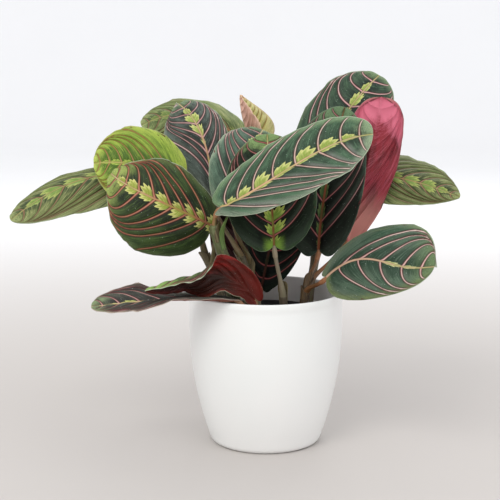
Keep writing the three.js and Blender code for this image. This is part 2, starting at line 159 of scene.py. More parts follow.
# %% A finish under construction
class Finish:
    """A material with its shader, and the nodes that its pattern is made of."""

    def __init__(self, name, **sockets):
        self.material = bpy.data.materials.new(name)
        self.material.use_nodes = True
        self.tree = self.material.node_tree
        self.shader = self.tree.nodes["Principled BSDF"]
        self.colour = None
        for socket, value in sockets.items():
            self.shader.inputs[socket.replace("_", " ")].default_value = value

    def parts(self, vector):
        split = self.tree.nodes.new("ShaderNodeSeparateXYZ")
        feed(self.tree, split.inputs[0], vector)
        return [Wire(self.tree, output) for output in split.outputs]

    def reads(self, attribute):
        return self.parts(add_node(self.tree, "Attribute", "Vector", {}, attribute_name=attribute))

    def place(self):
        return add_node(self.tree, "TexCoord", "Object", {})

    def vector(self, x, y, z=0.0):
        return add_node(self.tree, "CombineXYZ", 0, {0: x, 1: y, 2: z})

    def noise(self, vector, scale=1.0, detail=2.0, rough=0.5):
        inputs = {"Vector": vector, "Scale": scale, "Detail": detail, "Roughness": rough}
        return add_node(self.tree, "TexNoise", 0, inputs)

    def chance(self, vector):
        return add_node(self.tree, "TexWhiteNoise", "Value", {"Vector": vector})

    def layer(self, mask, below, above):
        return add_node(self.tree, "Mix", 2, {0: mask, 6: below, 7: above}, data_type="RGBA")

    def coat(self, mask, above):
        """Lay one more colour over the finish's own, as far as the mask says."""
        self.colour = self.layer(mask, self.colour, above)

    def paint(self, roughness, height, depth):
        """Link what varies over the surface. depth is the bump's real height in metres."""
        bump = add_node(self.tree, "Bump", 0, {"Distance": depth, "Height": height})
        sockets = {"Base Color": self.colour, "Roughness": roughness, "Normal": bump}
        for socket, value in sockets.items():
            feed(self.tree, self.shader.inputs[socket], value)
        return self.material


print("a finish paints colour, roughness and bump")

# %% [markdown]
# ## The room
# A soft studio needs a pale floor without a corner or a horizon. A plane and a wall would show one
# from some side, so the floor is a round sheet whose rim bends up all the way round. It is a little
# greyer near the plant and brightens towards the rim.

# %% Floor
FLOOR_RADIUS = 3.0
BEND_RADIUS = 1.0
FLOOR_SIDES = 96
FLOOR_COLOUR = "c6c1bd"
RIM_COLOUR = "fbfbfc"
SMUDGE_COLOUR = "b8b2ac"
FLOOR_GRAIN = 0.00005


def make_mesh(name, points, faces):
    mesh = bpy.data.meshes.new(name)
    mesh.from_pydata(points, [], faces)
    mesh.shade_smooth()
    return mesh


def ring_faces(rings, sides, first=0, flip=False):
    """Quads between rings of points, which are numbered ring by ring from first on."""
    quads = []
    for ring in range(rings - 1):
        for side in range(sides):
            a = first + ring * sides + side
            b = first + ring * sides + (side + 1) % sides
            quads.append((a, a + sides, b + sides, b) if flip else (a, b, b + sides, a + sides))
    return quads


profile = [(0.5, 0.0), (1.5, 0.0), (FLOOR_RADIUS, 0.0)]
for angle in np.linspace(0, math.pi / 2, 17)[1:]:
    bend = (FLOOR_RADIUS + BEND_RADIUS * math.sin(angle), BEND_RADIUS * (1 - math.cos(angle)))
    profile.append(bend)
turns = np.linspace(0, 2 * math.pi, FLOOR_SIDES, endpoint=False)
floor_points = [(r * math.cos(turn), r * math.sin(turn), z) for r, z in profile for turn in turns]
floor_faces = [tuple(range(FLOOR_SIDES)), *ring_faces(len(profile), FLOOR_SIDES, flip=True)]
floor_mesh = make_mesh("floor", floor_points, floor_faces)
floor = add_object("floor", floor_mesh)

paper = Finish("floor", Specular_IOR_Level=0.2)
paper_place = paper.place()
paper_x, paper_y, _ = paper.parts(paper_place)
paper_reach = (paper_x ** 2 + paper_y ** 2) ** 0.5
paper_cloud = paper.noise(paper_place, scale=3, detail=3)
paper_grain = paper.noise(paper_place, scale=700, detail=2)
paper.colour = paper.layer(paper_reach.step(0.2, 1.6), FLOOR_COLOUR, RIM_COLOUR)
paper.coat(paper_cloud * 0.06, SMUDGE_COLOUR)
floor_mesh.materials.append(paper.paint(paper_grain * 0.1 + 0.7, paper_grain, FLOOR_GRAIN))
print("floor:", FLOOR_RADIUS, "m in radius, its rim", BEND_RADIUS, "m high")

# %% [markdown]
# ## The light
# Light from a large window is soft, and its shadows have wide edges. A picture of a bright room could
# light the scene, but three square lamps and an even sky are easier to steer: the window in front on
# the left, a weaker lamp on the right that keeps colour in the shadows, and one behind for the edges.

# %% Lamps and sky
SKY_COLOUR = "f4f5f7"
SKY_STRENGTH = 1.03
LAMP_AIM = (0, 0, 0.15)


def soft_lamp(name, place, size, watts, colour):
    data = bpy.data.lights.new(name, "AREA")
    data.shape = "SQUARE"
    data.size = size
    data.energy = watts
    data.color = ink(colour)[:3]
    lamp = add_object(name, data)
    lamp.location = place
    away = lamp.location - Vector(LAMP_AIM)
    lamp.rotation_euler = away.to_track_quat("Z", "Y").to_euler()


soft_lamp("window", (-0.7, -1.3, 1.5), 1.0, 15, "fffdfa")
soft_lamp("fill", (1.3, -0.9, 0.9), 1.2, 3, "f6f8ff")
soft_lamp("back", (0.3, 1.2, 1.3), 0.8, 6, "ffffff")
world = bpy.data.worlds.new("sky")
world.use_nodes = True
background = world.node_tree.nodes["Background"]
background.inputs["Color"].default_value = ink(SKY_COLOUR)
background.inputs["Strength"].default_value = SKY_STRENGTH
bpy.context.scene.world = world
bpy.context.scene.view_settings.view_transform = "Standard"

# %% [markdown]
# ## Pieces
# Every piece is made the same way: a mesh from points and faces in millimetres, and its finishes. It
# rides with the plant's one body, and it hides the CAD node that it stands for. Marks are numbers stored
# at each point, which a finish can read. They tell it where on the leaf it is, as a texture map would,
# but without a picture.

# %% Make a piece
def make_piece(name, points, faces, finishes, slot, node, which=None, marks=None):
    """One piece. which holds each face's finish, and marks hold three numbers for each point."""
    mesh = make_mesh(name, (np.asarray(points) * MM).tolist(), [tuple(face) for face in faces])
    for finish in finishes:
        mesh.materials.append(finish)
    if which is not None:
        mesh.polygons.foreach_set("material_index", np.asarray(which, int))
    for mark, values in (marks or {}).items():
        layer = mesh.attributes.new(mark, "FLOAT_VECTOR", "POINT")
        layer.data.foreach_set("vector", np.asarray(values, float).ravel())
    mesh.update()
    piece = add_object(name, mesh)
    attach(piece, "root")
    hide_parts(node)


def capped_rings(rings, low, top):
    """A closed body: rings of points from the low end to the top, and the points that close both."""
    count, sides = len(rings), len(rings[0])
    last = (count - 1) * sides
    faces = ring_faces(count, sides)
    for side in range(sides):
        after = (side + 1) % sides
        faces.append((count * sides, after, side))
        faces.append((count * sides + 1, last + side, last + after))
    return np.concatenate([*rings, [low], [top]]), faces


def lathe(profile, sides):
    """A closed turned body. The profile's ends lie on the axis."""
    angles = np.arange(sides) * 2 * math.pi / sides
    rings = [
        np.stack([radius * np.cos(angles), radius * np.sin(angles), np.full(sides, float(z))], 1)
        for radius, z in profile[1:-1]]
    return capped_rings(rings, (0, 0, profile[0][1]), (0, 0, profile[-1][1]))


print("pieces are made in millimetres and placed in metres")

# %% [markdown]
# ## The cover pot
# It is moulded white plastic with a satin gloss. Its side is upright at the rim and leans in towards
# a rounded foot, the wall is 2.2 mm thick, and the underside is hollowed a little inside a narrow
# ring. It could be carved from a cylinder, but a turned profile gives the shape exactly. The rim is
# rounded on both sides, because a sharp edge would catch no light, and a faint step runs just below it.

# %% Cover pot profile
POT_HEIGHT = 120
POT_RADIUS = 60
POT_WALL = 2.2
POT_FLOOR = 3
POT_TAPER = 17.6
POT_TAPER_HEIGHT = 96
POT_FOOT_ROUND = 3.4
POT_CORNER = 4
HOLLOW_RADIUS = 38
HOLLOW_RISE = 0.6
RIM_STEP_DEPTH = 0.12
RIM_STEP_BELOW = 5.5


def pot_radius(z):
    lean = max(1 - z / POT_TAPER_HEIGHT, 0)
    foot = max(1 - z / POT_FOOT_ROUND, 0)
    return POT_RADIUS - POT_TAPER * lean ** 2 - POT_FOOT_ROUND * (1 - math.sqrt(1 - foot ** 2))


pot_profile = [(0, HOLLOW_RISE), (HOLLOW_RADIUS, HOLLOW_RISE), (HOLLOW_RADIUS + 0.4, 0.05)]
for z in (0, 0.25, 0.7, 1.3, 2.1, 3, 4, 5.5):
    pot_profile.append((pot_radius(z), z))
for z in np.linspace(8, POT_HEIGHT - RIM_STEP_BELOW, 34):
    pot_profile.append((pot_radius(z) - RIM_STEP_DEPTH, z))
pot_profile.append((POT_RADIUS, POT_HEIGHT - RIM_STEP_BELOW + 0.4))
lip = POT_WALL / 2
for angle in np.linspace(0, math.pi, 13):
    squash = abs(math.sin(angle)) * lip
    pot_profile.append((POT_RADIUS - lip + lip * math.cos(angle), POT_HEIGHT - lip + squash))
corner_height = POT_FLOOR + POT_CORNER
for z in np.linspace(POT_HEIGHT - 4, corner_height, 26):
    pot_profile.append((pot_radius(z) - POT_WALL, z))
corner_radius = pot_radius(corner_height) - POT_WALL - POT_CORNER
for angle in np.linspace(0.2, math.pi / 2, 6):
    out, down = POT_CORNER * math.cos(angle), POT_CORNER * math.sin(angle)
    pot_profile.append((corner_radius + out, corner_height - down))
pot_profile.append((0, POT_FLOOR))
print("the cover pot's profile has", len(pot_profile), "points")

# %% [markdown]
# ## The cover pot's skin
# White plastic with one even white would look like paper. A faint cloud varies its tone and its gloss,
# a fine grain breaks up the reflections, and a thin clear coat gives the soft highlight at the rim.

# %% Cover pot
POT_SIDES = 192
GLAZE_GRAIN = 0.00006

glaze = Finish("white_glaze", Roughness=0.3, Coat_Weight=0.25, Coat_Roughness=0.18)
glaze_cloud = glaze.noise(glaze.place(), scale=9, detail=3)
glaze_grain = glaze.noise(glaze.place(), scale=900, detail=2)
glaze.colour = glaze.layer(glaze_cloud.step(0.3, 0.7), "eceeec", "f1f1ef")
glaze_rough = glaze_cloud * 0.1 + glaze_grain * 0.08 + 0.22
white_glaze = glaze.paint(glaze_rough, glaze_grain * 0.5 + glaze_cloud, GLAZE_GRAIN)
pot_points, pot_faces = lathe(pot_profile, POT_SIDES)
make_piece("cover_pot", pot_points, pot_faces, [white_glaze], "white_pot", "pot")
print("cover pot:", len(pot_faces), "faces")

# %% [markdown]
# ## The nursery pot
# A plant is sold in a thin black pot with a stepped collar, and that pot stands inside the cover
# pot. Only a stretch of its collar shows. The real one is moulded, with a rolled rim and a matte,
# slightly grainy skin. It is turned too, because a profile can hold each small step of the collar.

# %% Nursery pot
GROW_HEIGHT = 97.5
GROW_RIM_RADIUS = 52.5
GROW_FOOT_RADIUS = 39
GROW_WALL = 1.4
GROW_LIP = 6
GROW_LIP_STEP = 1.2
GROW_SIDES = 128
SEAT_GAP = 0.3
PLASTIC_GRAIN = 0.0001

grow_low = POT_FLOOR + SEAT_GAP
grow_rim = grow_low + GROW_HEIGHT
lip_low = grow_rim - GROW_LIP
grow_neck = GROW_RIM_RADIUS - GROW_LIP_STEP
grow_inner = grow_neck - GROW_WALL
grow_profile = [
    (0, grow_low), (GROW_FOOT_RADIUS - 1.5, grow_low), (GROW_FOOT_RADIUS - 0.3, grow_low + 0.5),
    (GROW_FOOT_RADIUS + 0.2, grow_low + 1.6), (grow_neck - 0.2, lip_low - 0.2),
    (grow_neck + 0.1, lip_low), (GROW_RIM_RADIUS - 0.3, lip_low + 0.1),
    (GROW_RIM_RADIUS, lip_low + 0.5), (GROW_RIM_RADIUS, grow_rim - 1.5),
    (GROW_RIM_RADIUS - 0.2, grow_rim - 1.2), (GROW_RIM_RADIUS, grow_rim - 0.9),
    (GROW_RIM_RADIUS, grow_rim - 0.3), (GROW_RIM_RADIUS - 0.3, grow_rim), (grow_inner + 0.4, grow_rim),
    (grow_inner, grow_rim - 0.4), (grow_inner - 0.3, lip_low),
    (GROW_FOOT_RADIUS - GROW_WALL, grow_low + GROW_WALL), (0, grow_low + GROW_WALL),
]

plastic = Finish("black_plastic", Roughness=0.5)
plastic_grain = plastic.noise(plastic.place(), scale=700, detail=4)
plastic_dust = plastic.noise(plastic.place(), scale=60, detail=4)
plastic.colour = plastic.layer(plastic_dust.step(0.5, 0.85), "17171a", "3a3733")
black_plastic = plastic.paint(plastic_grain * 0.3 + 0.35, plastic_grain, PLASTIC_GRAIN)
grow_points, grow_faces = lathe(grow_profile, GROW_SIDES)
make_piece("nursery_pot", grow_points, grow_faces, [black_plastic], "black_pot", "grow_pot")
print("nursery pot rim stands at", grow_rim, "mm")

# %% [markdown]
# ## The soil
# Potting mix is peat and bark with a few white bits of perlite. Bump alone would leave it flat where
# it is seen from the side, so the bed is a domed disc whose points are pushed about by noise.

# %% Soil bed
SOIL_BELOW_RIM = 9
SOIL_DOME = 3
SOIL_RINGS = 64
SOIL_SPOKES = 180
SOIL_SKIRT = 14

soil_top = grow_rim - SOIL_BELOW_RIM
soil_edge = grow_inner - 1.2


def soil_height(x, y):
    share = math.hypot(x, y) / soil_edge
    bed = soil_top + SOIL_DOME * (1 - share ** 2)
    lumps = noise.fractal((x * 0.11, y * 0.11, 3.0), 1.0, 2.0, 4)
    grit = noise.fractal((x * 0.6, y * 0.6, 9.0), 0.9, 2.1, 3)
    return bed + 1.2 * lumps + 0.7 * grit


soil_points = [(0, 0, soil_height(0, 0))]
for ring in range(1, SOIL_RINGS + 1):
    for spoke in range(SOIL_SPOKES):
        reach = soil_edge * ring / SOIL_RINGS
        angle = 2 * math.pi * spoke / SOIL_SPOKES
        x, y = reach * math.cos(angle), reach * math.sin(angle)
        soil_points.append((x, y, soil_height(x, y)))
skirt = len(soil_points)
for x, y, _ in soil_points[-SOIL_SPOKES:]:
    soil_points.append((x, y, soil_top - SOIL_SKIRT))
soil_points.append((0, 0, soil_top - SOIL_SKIRT))
soil_faces = ring_faces(SOIL_RINGS + 1, SOIL_SPOKES, first=1, flip=True)
for spoke in range(SOIL_SPOKES):
    after = (spoke + 1) % SOIL_SPOKES
    soil_faces.append((0, 1 + spoke, 1 + after))
    soil_faces.append((skirt + spoke, len(soil_points) - 1, skirt + after))
print("the bed has", len(soil_points), "points")

# %% [markdown]
# ## Crumbs
# A few hundred rough crumbs lie on the bed. They could be copies of one lump, but then they would look
# alike, so each is a cube whose corners are pulled in unevenly by a seeded draw, which gives the same
# bed at each run. All are joined into the bed's mesh, and a mark says what each point is made of.

# %% Crumbs
CRUMBS = 620
PERLITE_EVERY = 9
draw = np.random.default_rng(7)


def crumb(centre, size, stretch):
    """A rough eight-cornered lump, from a cube whose corners are pulled in unevenly."""
    signs = np.array([(x, y, z) for x in (-1, 1) for y in (-1, 1) for z in (-1, 1)], float)
    corners = signs * size * draw.uniform(0.4, 0.75, (8, 1)) * stretch
    a, b = draw.uniform(0, math.pi, 2)
    spin = np.array([[math.cos(a), -math.sin(a), 0], [math.sin(a), math.cos(a), 0], [0, 0, 1]])
    lean = np.array([[1, 0, 0], [0, math.cos(b), -math.sin(b)], [0, math.sin(b), math.cos(b)]])
    sides = [(0, 1, 3, 2), (4, 6, 7, 5), (0, 4, 5, 1), (2, 3, 7, 6), (0, 2, 6, 4), (1, 5, 7, 3)]
    return corners @ (spin @ lean).T + centre, sides


soil_kind = [(0, 0, 0)] * len(soil_points)
for number in range(CRUMBS):
    reach = soil_edge * math.sqrt(draw.uniform(0, 0.93))
    angle = draw.uniform(0, 2 * math.pi)
    x, y = reach * math.cos(angle), reach * math.sin(angle)
    perlite = number % PERLITE_EVERY == 0
    size = draw.uniform(1.0, 2.1) if perlite else draw.uniform(0.9, 3.0)
    stretch = (1, 1, 0.8) if perlite else (draw.uniform(0.8, 2.2), 1, 0.6)
    lump, sides = crumb((x, y, soil_height(x, y) + size * 0.15), size, np.array(stretch))
    start = len(soil_points)
    soil_points.extend(lump.tolist())
    soil_faces.extend([tuple(start + corner for corner in side) for side in sides])
    soil_kind.extend([(1 if perlite else 0.5, draw.uniform(), 0)] * 8)

print("crumbs:", CRUMBS)

# %% [markdown]
# ## The soil's finish
# Wet peat is nearly black, bark is reddish brown and perlite off-white. One material does for all,
# because the mark tells it which is which. The alternative, one material each, would need more slots.

# %% Soil finish
SOIL_GRAIN = 0.0008

soil = Finish("potting_soil", Roughness=0.95)
kind, tone, _ = soil.reads("soil_kind")
soil_grit = soil.noise(soil.place(), scale=520, detail=5, rough=0.7)
soil_tone = soil.noise(soil.place(), scale=70, detail=3)
soil.colour = soil.layer(soil_grit.step(0.35, 0.7), "120d0a", "3b2c20")
soil.coat(soil_tone.step(0.4, 0.8) * 0.5, "4a3a2b")
soil.coat(kind.step(0.2, 0.4) * 0.75, soil.layer(tone, "2a1c12", "6b4c31"))
soil.coat(kind.step(0.7, 0.9), "d8d3c8")
potting_soil = soil.paint(soil_grit * 0.2 + 0.8, soil_grit, SOIL_GRAIN)
soil_marks = {"soil_kind": soil_kind}
make_piece("soil_bed", soil_points, soil_faces, [potting_soil], "soil", "soil", marks=soil_marks)
print("soil bed:", len(soil_faces), "faces, its top at", soil_top, "mm")

# %% [markdown]
# ## Where the leaves are
# Each leaf is placed by the two ends of its midrib, as in the frame's own solids, so that the fine
# leaf lies where the plain one does. bow lifts the midrib's middle, droop bends its outer part, and
# face is the way the upper side looks. Pairs are for the left and the right half: a fold, in degrees,
# lifts the half at the midrib, a curl goes on turning it up towards the edge, widest is the share of
# the length where the half is widest, and halves is its share of half the width. turn twists the
# outer part of the leaf about its midrib, and a blunt below 1 rounds the tip. wave is the strength of
# the margin's waves. arrive is the way that a stalk comes in, where that isn't along the midrib.

# %% Leaf places
LEAVES = {
    "front_long": dict(
        base=(-33, -44, 190), tip=(75, -66, 245), bow=(0, 0, -1), droop=(0, 0, 13), face=(-3, -8, 6),
        width=64, fold=(4, 24), curl=(-6, -10), wave=1, widest=(0.42, 0.64), halves=(0.84, 1.2),
        blunt=0.75),
    "front_left": dict(
        base=(-42, -22, 174), tip=(-116, -24, 213), bow=(0, -26, 2), droop=(-6, -6, 0),
        face=(-3, -10, 3), width=78, fold=(-8, -4), curl=(-30, -22), wave=1, widest=(0.46, 0.5),
        halves=(1.08, 0.86), blunt=1.25),
    "left_lime": dict(
        base=(-68, 2, 203), tip=(-132, 0, 218), bow=(0, -4, 7), face=(-1, -8, 5), width=66,
        fold=(4, 4), curl=(-8, -8), wave=1.5),
    "left_far": dict(
        base=(-79, 22, 206), tip=(-193, -20, 177), bow=(0, 0, 14), droop=(0, 0, 4), face=(0, -4, 8),
        width=60, fold=(-12, -12), curl=(-22, -16), wave=1.5),
    "upper_left": dict(
        base=(-41, 16, 190), tip=(-71, 80, 260), bow=(6, -6, 10), face=(-4, -8, 5), width=58,
        fold=(6, -24), curl=(-10, -14), wave=1, widest=(0.66, 0.6), halves=(1.04, 0.75), blunt=0.8),
    "upper_middle": dict(
        base=(-24, -12, 182), tip=(-2, 44, 241), bow=(0, -8, 8), face=(-1, -8, 6), width=60,
        fold=(8, -22), curl=(-14, -14), wave=1, widest=(0.54, 0.54), blunt=0.65),
    "new_leaf": dict(
        base=(-8, 69, 226), tip=(-20, 71, 268), bow=(-3, 0, 0), face=(2, -8, 1), width=56,
        fold=(90, -4), curl=(26, 20), wave=1, widest=(0.34, 0.28), halves=(0.9, 0.8), blunt=1.7),
    "upper_back": dict(
        base=(-22, 96, 232), tip=(-104, 98, 241), bow=(0, 0, 14), face=(-1, -6, 8), width=62,
        fold=(-6, -6), curl=(-16, -16), wave=1),
    "upper_right": dict(
        base=(35, 26, 206), tip=(92, 58, 284), bow=(-1, -6, 8), face=(-3, -8, 5), width=68,
        fold=(4, -6), curl=(-16, -16), wave=1, blunt=0.9),
    "red_back": dict(
        base=(63.5, 8, 157), tip=(90, 22, 268), bow=(-1, -6, 0), droop=(4, 0, 0), face=(4, 8, 2),
        width=50, fold=(26, 2), curl=(30, 0), wave=1, widest=(0.6, 0.6), blunt=0.6, arrive=(4, 3, 8)),
    "right_far": dict(
        base=(66, 44, 206), tip=(152, 15, 190), bow=(0, 0, 8), face=(0, -4, 8), width=62,
        fold=(0, -18), curl=(-12, -22), wave=1.5, widest=(0.42, 0.42), halves=(1.15, 0.9), blunt=1.4),
    "right_low": dict(
        base=(45, -38, 137), tip=(118, -84, 153), bow=(0, -4, 12), droop=(0, 0, -6), face=(-1, -8, 6),
        width=58, fold=(4, -14), curl=(-12, -22), wave=1, widest=(0.66, 0.4), halves=(1.12, 0.95),
        arrive=(5, -4, 8)),
    "centre_front": dict(
        base=(6, -28, 159), tip=(1, 10, 240), bow=(0, -8, 0), face=(0, -9, 4), width=70, fold=(6, 6),
        curl=(-14, -14), wave=1),
    "centre_right": dict(
        base=(41, 2, 151), tip=(62, 24, 260), bow=(-6, -8, 0), face=(-1, -9, 2), width=62,
        fold=(10, 10), curl=(-10, -10), wave=1),
    "centre_low": dict(
        base=(-3, 12, 120), tip=(14, 30, 204), bow=(0, -6, 0), face=(0, -9, 2), width=52, fold=(6, 6),
        curl=(-10, -10), wave=1, widest=(0.58, 0.6), halves=(0.8, 1.05)),
    "curled_red": dict(
        base=(-9, -34, 119), tip=(-88, -70, 133), bow=(7, 5, 14), face=(0, 9, -1), width=34,
        fold=(4, -58), curl=(-12, -10), wave=2, turn=-105, arrive=(-3, -5, 9)),
    "left_low": dict(
        base=(-24, -50, 121.8), tip=(-128, -62, 119), bow=(0, 0, 3), face=(0, 0.5, 9), width=42,
        fold=(10, 8), curl=(-6, -4), wave=1.5, widest=(0.62, 0.6), halves=(0.72, 0.95), turn=-28),
    "back_left": dict(
        base=(-46, 58, 170), tip=(-104, 146, 168), bow=(0, 0, 16), droop=(0, 0, 2), face=(-2, 4, 9),
        width=62, fold=(-4, -4), curl=(-16, -16), wave=1.5),
    "back_middle": dict(
        base=(-2, 66, 160), tip=(-10, 170, 146), bow=(0, 0, 18), droop=(0, 0, 2), face=(0, 4, 9),
        width=62, fold=(-4, -4), curl=(-16, -16), wave=1.5),
    "back_right": dict(
        base=(40, 60, 178), tip=(96, 140, 186), bow=(0, 0, 16), droop=(0, 0, 2), face=(2, 3, 9),
        width=60, fold=(-4, -4), curl=(-16, -16), wave=1.5),
    "back_low": dict(
        base=(-20, 22, 124), tip=(-28, 42, 194), bow=(0, 3, 0), face=(-1, 9, 2), width=42, fold=(4, 4),
        curl=(-16, -16), wave=1.5),
}
print("leaves:", len(LEAVES))

# %% [markdown]
# ## The form of a leaf
# A prayer plant's leaf is a broad oval on a midrib, which arches and droops. A picture on a bent card
# would look flat at the edge, so the blade is a fine grid of points that is worked out from the
# midrib's curve. A cubic curve needs four points: the two ends, and two that bow it.

# %% Curves in space
def bezier(controls, t):
    """Points on a cubic curve and its unit direction there. t may have any shape."""
    p, q, r, s = [np.asarray(control, float) for control in controls]
    t = np.asarray(t, float)[..., None]
    u = 1 - t
    points = u ** 3 * p + 3 * u ** 2 * t * q + 3 * u * t ** 2 * r + t ** 3 * s
    ahead = 3 * u ** 2 * (q - p) + 6 * u * t * (r - q) + 3 * t ** 2 * (s - r)
    return points, ahead / np.linalg.norm(ahead, axis=-1, keepdims=True)


def run_along(points):
    """How far along the line through the points each one lies."""
    steps = np.linalg.norm(np.diff(points, axis=0), axis=1)
    return np.concatenate([[0], np.cumsum(steps)])


def curve_length(controls):
    points, _ = bezier(controls, np.linspace(0, 1, 201))
    return run_along(points)[-1]


def midrib_controls(leaf):
    base, tip = np.array(leaf["base"], float), np.array(leaf["tip"], float)
    bow = np.array(leaf["bow"], float) * 4 / 3
    droop = np.array(leaf.get("droop", (0, 0, 0)), float) * 4 / 3
    return base, base + (tip - base) / 3 + bow, base + (tip - base) * 2 / 3 + bow + droop, tip


for name in ("front_long", "front_left", "centre_front"):
    print(name, "midrib:", round(curve_length(midrib_controls(LEAVES[name])), 1), "mm")

# %% [markdown]
# ## Outline
# Each half of a blade bulges between the stalk and the tip, and has a small lobe beside the stalk. It
# could be drawn through points. Half a sine wave whose middle is moved does the same with two numbers
# that mean something: where the half is widest, and how blunt its tip is.

# %% Outline
LOBE = 0.045
LOBE_LENGTH = 0.06
LOBE_BLUNT = 0.8
TIP_BLUNT = 1.1


def smooth(value, start, end):
    share = np.clip((value - start) / (end - start), 0, 1)
    return share * share * (3 - 2 * share)


def outline(a, widest, blunt):
    """A half's width at a share a of the length, as a share of the greatest."""
    along = ((np.maximum(a, 0) + LOBE) / (1 + LOBE)) ** (math.log(0.5) / math.log(widest))
    power = LOBE_BLUNT + (blunt - LOBE_BLUNT) * along
    return np.sin(np.arccos(np.clip(1 - 2 * along, -1, 1))) ** power


print("a half that is widest in the middle, at a tenth:", round(float(outline(0.1, 0.5, TIP_BLUNT)), 2))

# %% [markdown]
# ## Side veins
# The veins leave the midrib at a wide angle, then sweep forward and run along the margin, and the skin
# swells into a soft panel between each two of them. A square grid would cut across them in steps. So
# the grid follows the veins: one direction runs along them, the other from vein to vein. A vein then
# falls exactly on a row of points, and the rows crowd together near it.
#
# Leaves differ in their veins. reach is how far a vein runs on towards the tip before it meets the
# margin, straight is the share of that which it gains evenly rather than in a final hook, and drift
# moves the midrib sideways, by its middle and as an S, in shares of half the width. crowd draws the
# veins towards the leaf's foot, and stagger moves the veins of one half along the midrib.

# %% Veins of each leaf
PLAIN_VEINS = dict(
    panels=8, crowd=1.0, reach=(0.85, 0.85), straight=(0.6, 0.6), drift=(0, 0), stagger=(0, 0))
VEINS = {
    "front_long": dict(
        panels=9, crowd=1.25, reach=(0.4, 0.74), straight=(0.25, 0.68), stagger=(0, -0.02)),
    "front_left": dict(
        panels=9, crowd=1.25, reach=(0.95, 0.95), straight=(0.5, 0.5), drift=(0.05, 0),
        stagger=(0, 0.02)),
    "left_lime": dict(reach=(1.0, 1.0)),
    "left_far": dict(reach=(0.95, 0.95)),
    "upper_left": dict(reach=(1.05, 0.8), straight=(0.9, 0.5), stagger=(0.02, 0)),
    "upper_middle": dict(straight=(0.75, 0.6)),
    "new_leaf": dict(reach=(0.6, 0.6)),
    "upper_back": dict(reach=(1.0, 1.0)),
    "upper_right": dict(panels=7, reach=(0.8, 0.8), straight=(0.15, 0.6)),
    "red_back": dict(reach=(1.0, 1.0)),
    "right_far": dict(reach=(0.95, 0.95), straight=(0.6, 0.7), drift=(0.1, 0)),
    "right_low": dict(
        panels=6, reach=(1.0, 0.7), straight=(0.6, 0.15), drift=(0, -0.12), stagger=(0.04, 0)),
    "centre_right": dict(reach=(0.75, 0.75), drift=(0.06, 0)),
    "centre_front": dict(reach=(0.8, 0.8), straight=(0.3, 0.3), stagger=(0, 0.02)),
    "centre_low": dict(reach=(0.4, 0.4), straight=(0.1, 0.1)),
    "left_low": dict(reach=(0.9, 0.9)),
    "curled_red": dict(reach=(0.7, 0.7)),
}
for name, leaf in LEAVES.items():
    leaf["veins"] = PLAIN_VEINS | VEINS.get(name, {})
print("leaves whose veins differ from the plain ones:", len(VEINS))

# %% Where a vein runs
REACH_START = 0.06
HOOK = 2.8
STAGGER_WIDTH = 0.04


def vein_place(share, crowd=1.0):
    """Where veins leave the midrib: closer together at both ends, and at the foot for a high crowd."""
    return (0.5 * share + 0.25 * (1 - np.cos(math.pi * share))) ** crowd


def along_blade(t, across, veins):
    """Where the vein that leaves the midrib at t is once it has come as far across."""
    v = np.abs(across)
    half = (across >= 0).astype(int)
    started = (1 - np.exp(-t / REACH_START)) * (1 - t)
    reach = np.array(veins["reach"])[half] * started
    stagger = np.array(veins["stagger"])[half] * started * (1 - np.exp(-v / STAGGER_WIDTH))
    straight = np.array(veins["straight"])[half]
    lobe = LOBE * np.exp(-t / LOBE_LENGTH) * 4 * v * (1 - v)
    return t + stagger + reach * (straight * v + (1 - straight) * v ** HOOK) - lobe


starts = [round(float(vein_place(k / 8)), 2) for k in range(1, 8)]
print("eight panels' side veins leave the midrib at", starts, "of its length")

# %% [markdown]
# ## Swell, waves and ripples
# The skin of a leaf is nowhere flat: it swells between the veins, its margin waves and is finely
# frilled, and small ripples cross it. A noise texture on a Displace modifier could do that, but it
# would take no heed of the veins. Sines of the place on the leaf do, and they need no random draw.

# %% Swell, waves and ripples
PANEL_RISE = 1.5
WAVES = 3
WAVE_SHARE = 0.6
WAVE_RATES = (31, 9)
FRILL = 0.5
FRILL_RATE = 67
RIPPLE = 0.4
RIPPLE_RATES = (23, 11)
PANEL_STARTS = 0.16
PANEL_ENDS = 0.72


def skin_lift(leaf, share, across, place, breadth, half, seed):
    """How far the skin stands off the smooth blade: its panels, wavy margin and ripples."""
    v = np.abs(across)
    swell = np.abs(np.sin(math.pi * share * leaf["veins"]["panels"])) ** 0.8
    panel = PANEL_RISE * swell * smooth(v, 0, PANEL_STARTS) * (1 - smooth(v, PANEL_ENDS, 1))
    fast, slow = WAVE_RATES
    wave = np.sin(2 * math.pi * (WAVES * place + 0.3 * half))
    wave = wave + 0.7 * np.sin(fast * place + 4 * half + 3 * seed) * np.sin(slow * place + seed)
    wave = wave + FRILL * np.sin(FRILL_RATE * place + 5 * half + seed) * v ** 3
    wave = wave * leaf["wave"] * WAVE_SHARE * v ** 2 * breadth
    fast, slow = RIPPLE_RATES
    ripple = np.sin(fast * place + 5 * across + seed) * np.sin(slow * place - 7 * across + 2 * seed)
    return panel + wave + RIPPLE * ripple * breadth


print("the skin swells by", PANEL_RISE, "mm between two veins")

# %% [markdown]
# ## The blade's surface
# Each point of the grid now gets its place in space: first along the midrib, then out to its side on
# an arc, which gives the fold and the curl, and last off the skin by the swell and the waves. Bend
# modifiers could curl a flat leaf, but not each half by its own angle.

# %% The blade's surface
FOLD_SOFTNESS = 2.4
TURN_START = 0.4
TURN_END = 0.72


def turned_about(vector, axis, angle):
    c, s = np.cos(angle)[..., None], np.sin(angle)[..., None]
    along = (vector * axis).sum(-1, keepdims=True) * axis
    return vector * c + np.cross(axis, vector) * s + along * (1 - c)


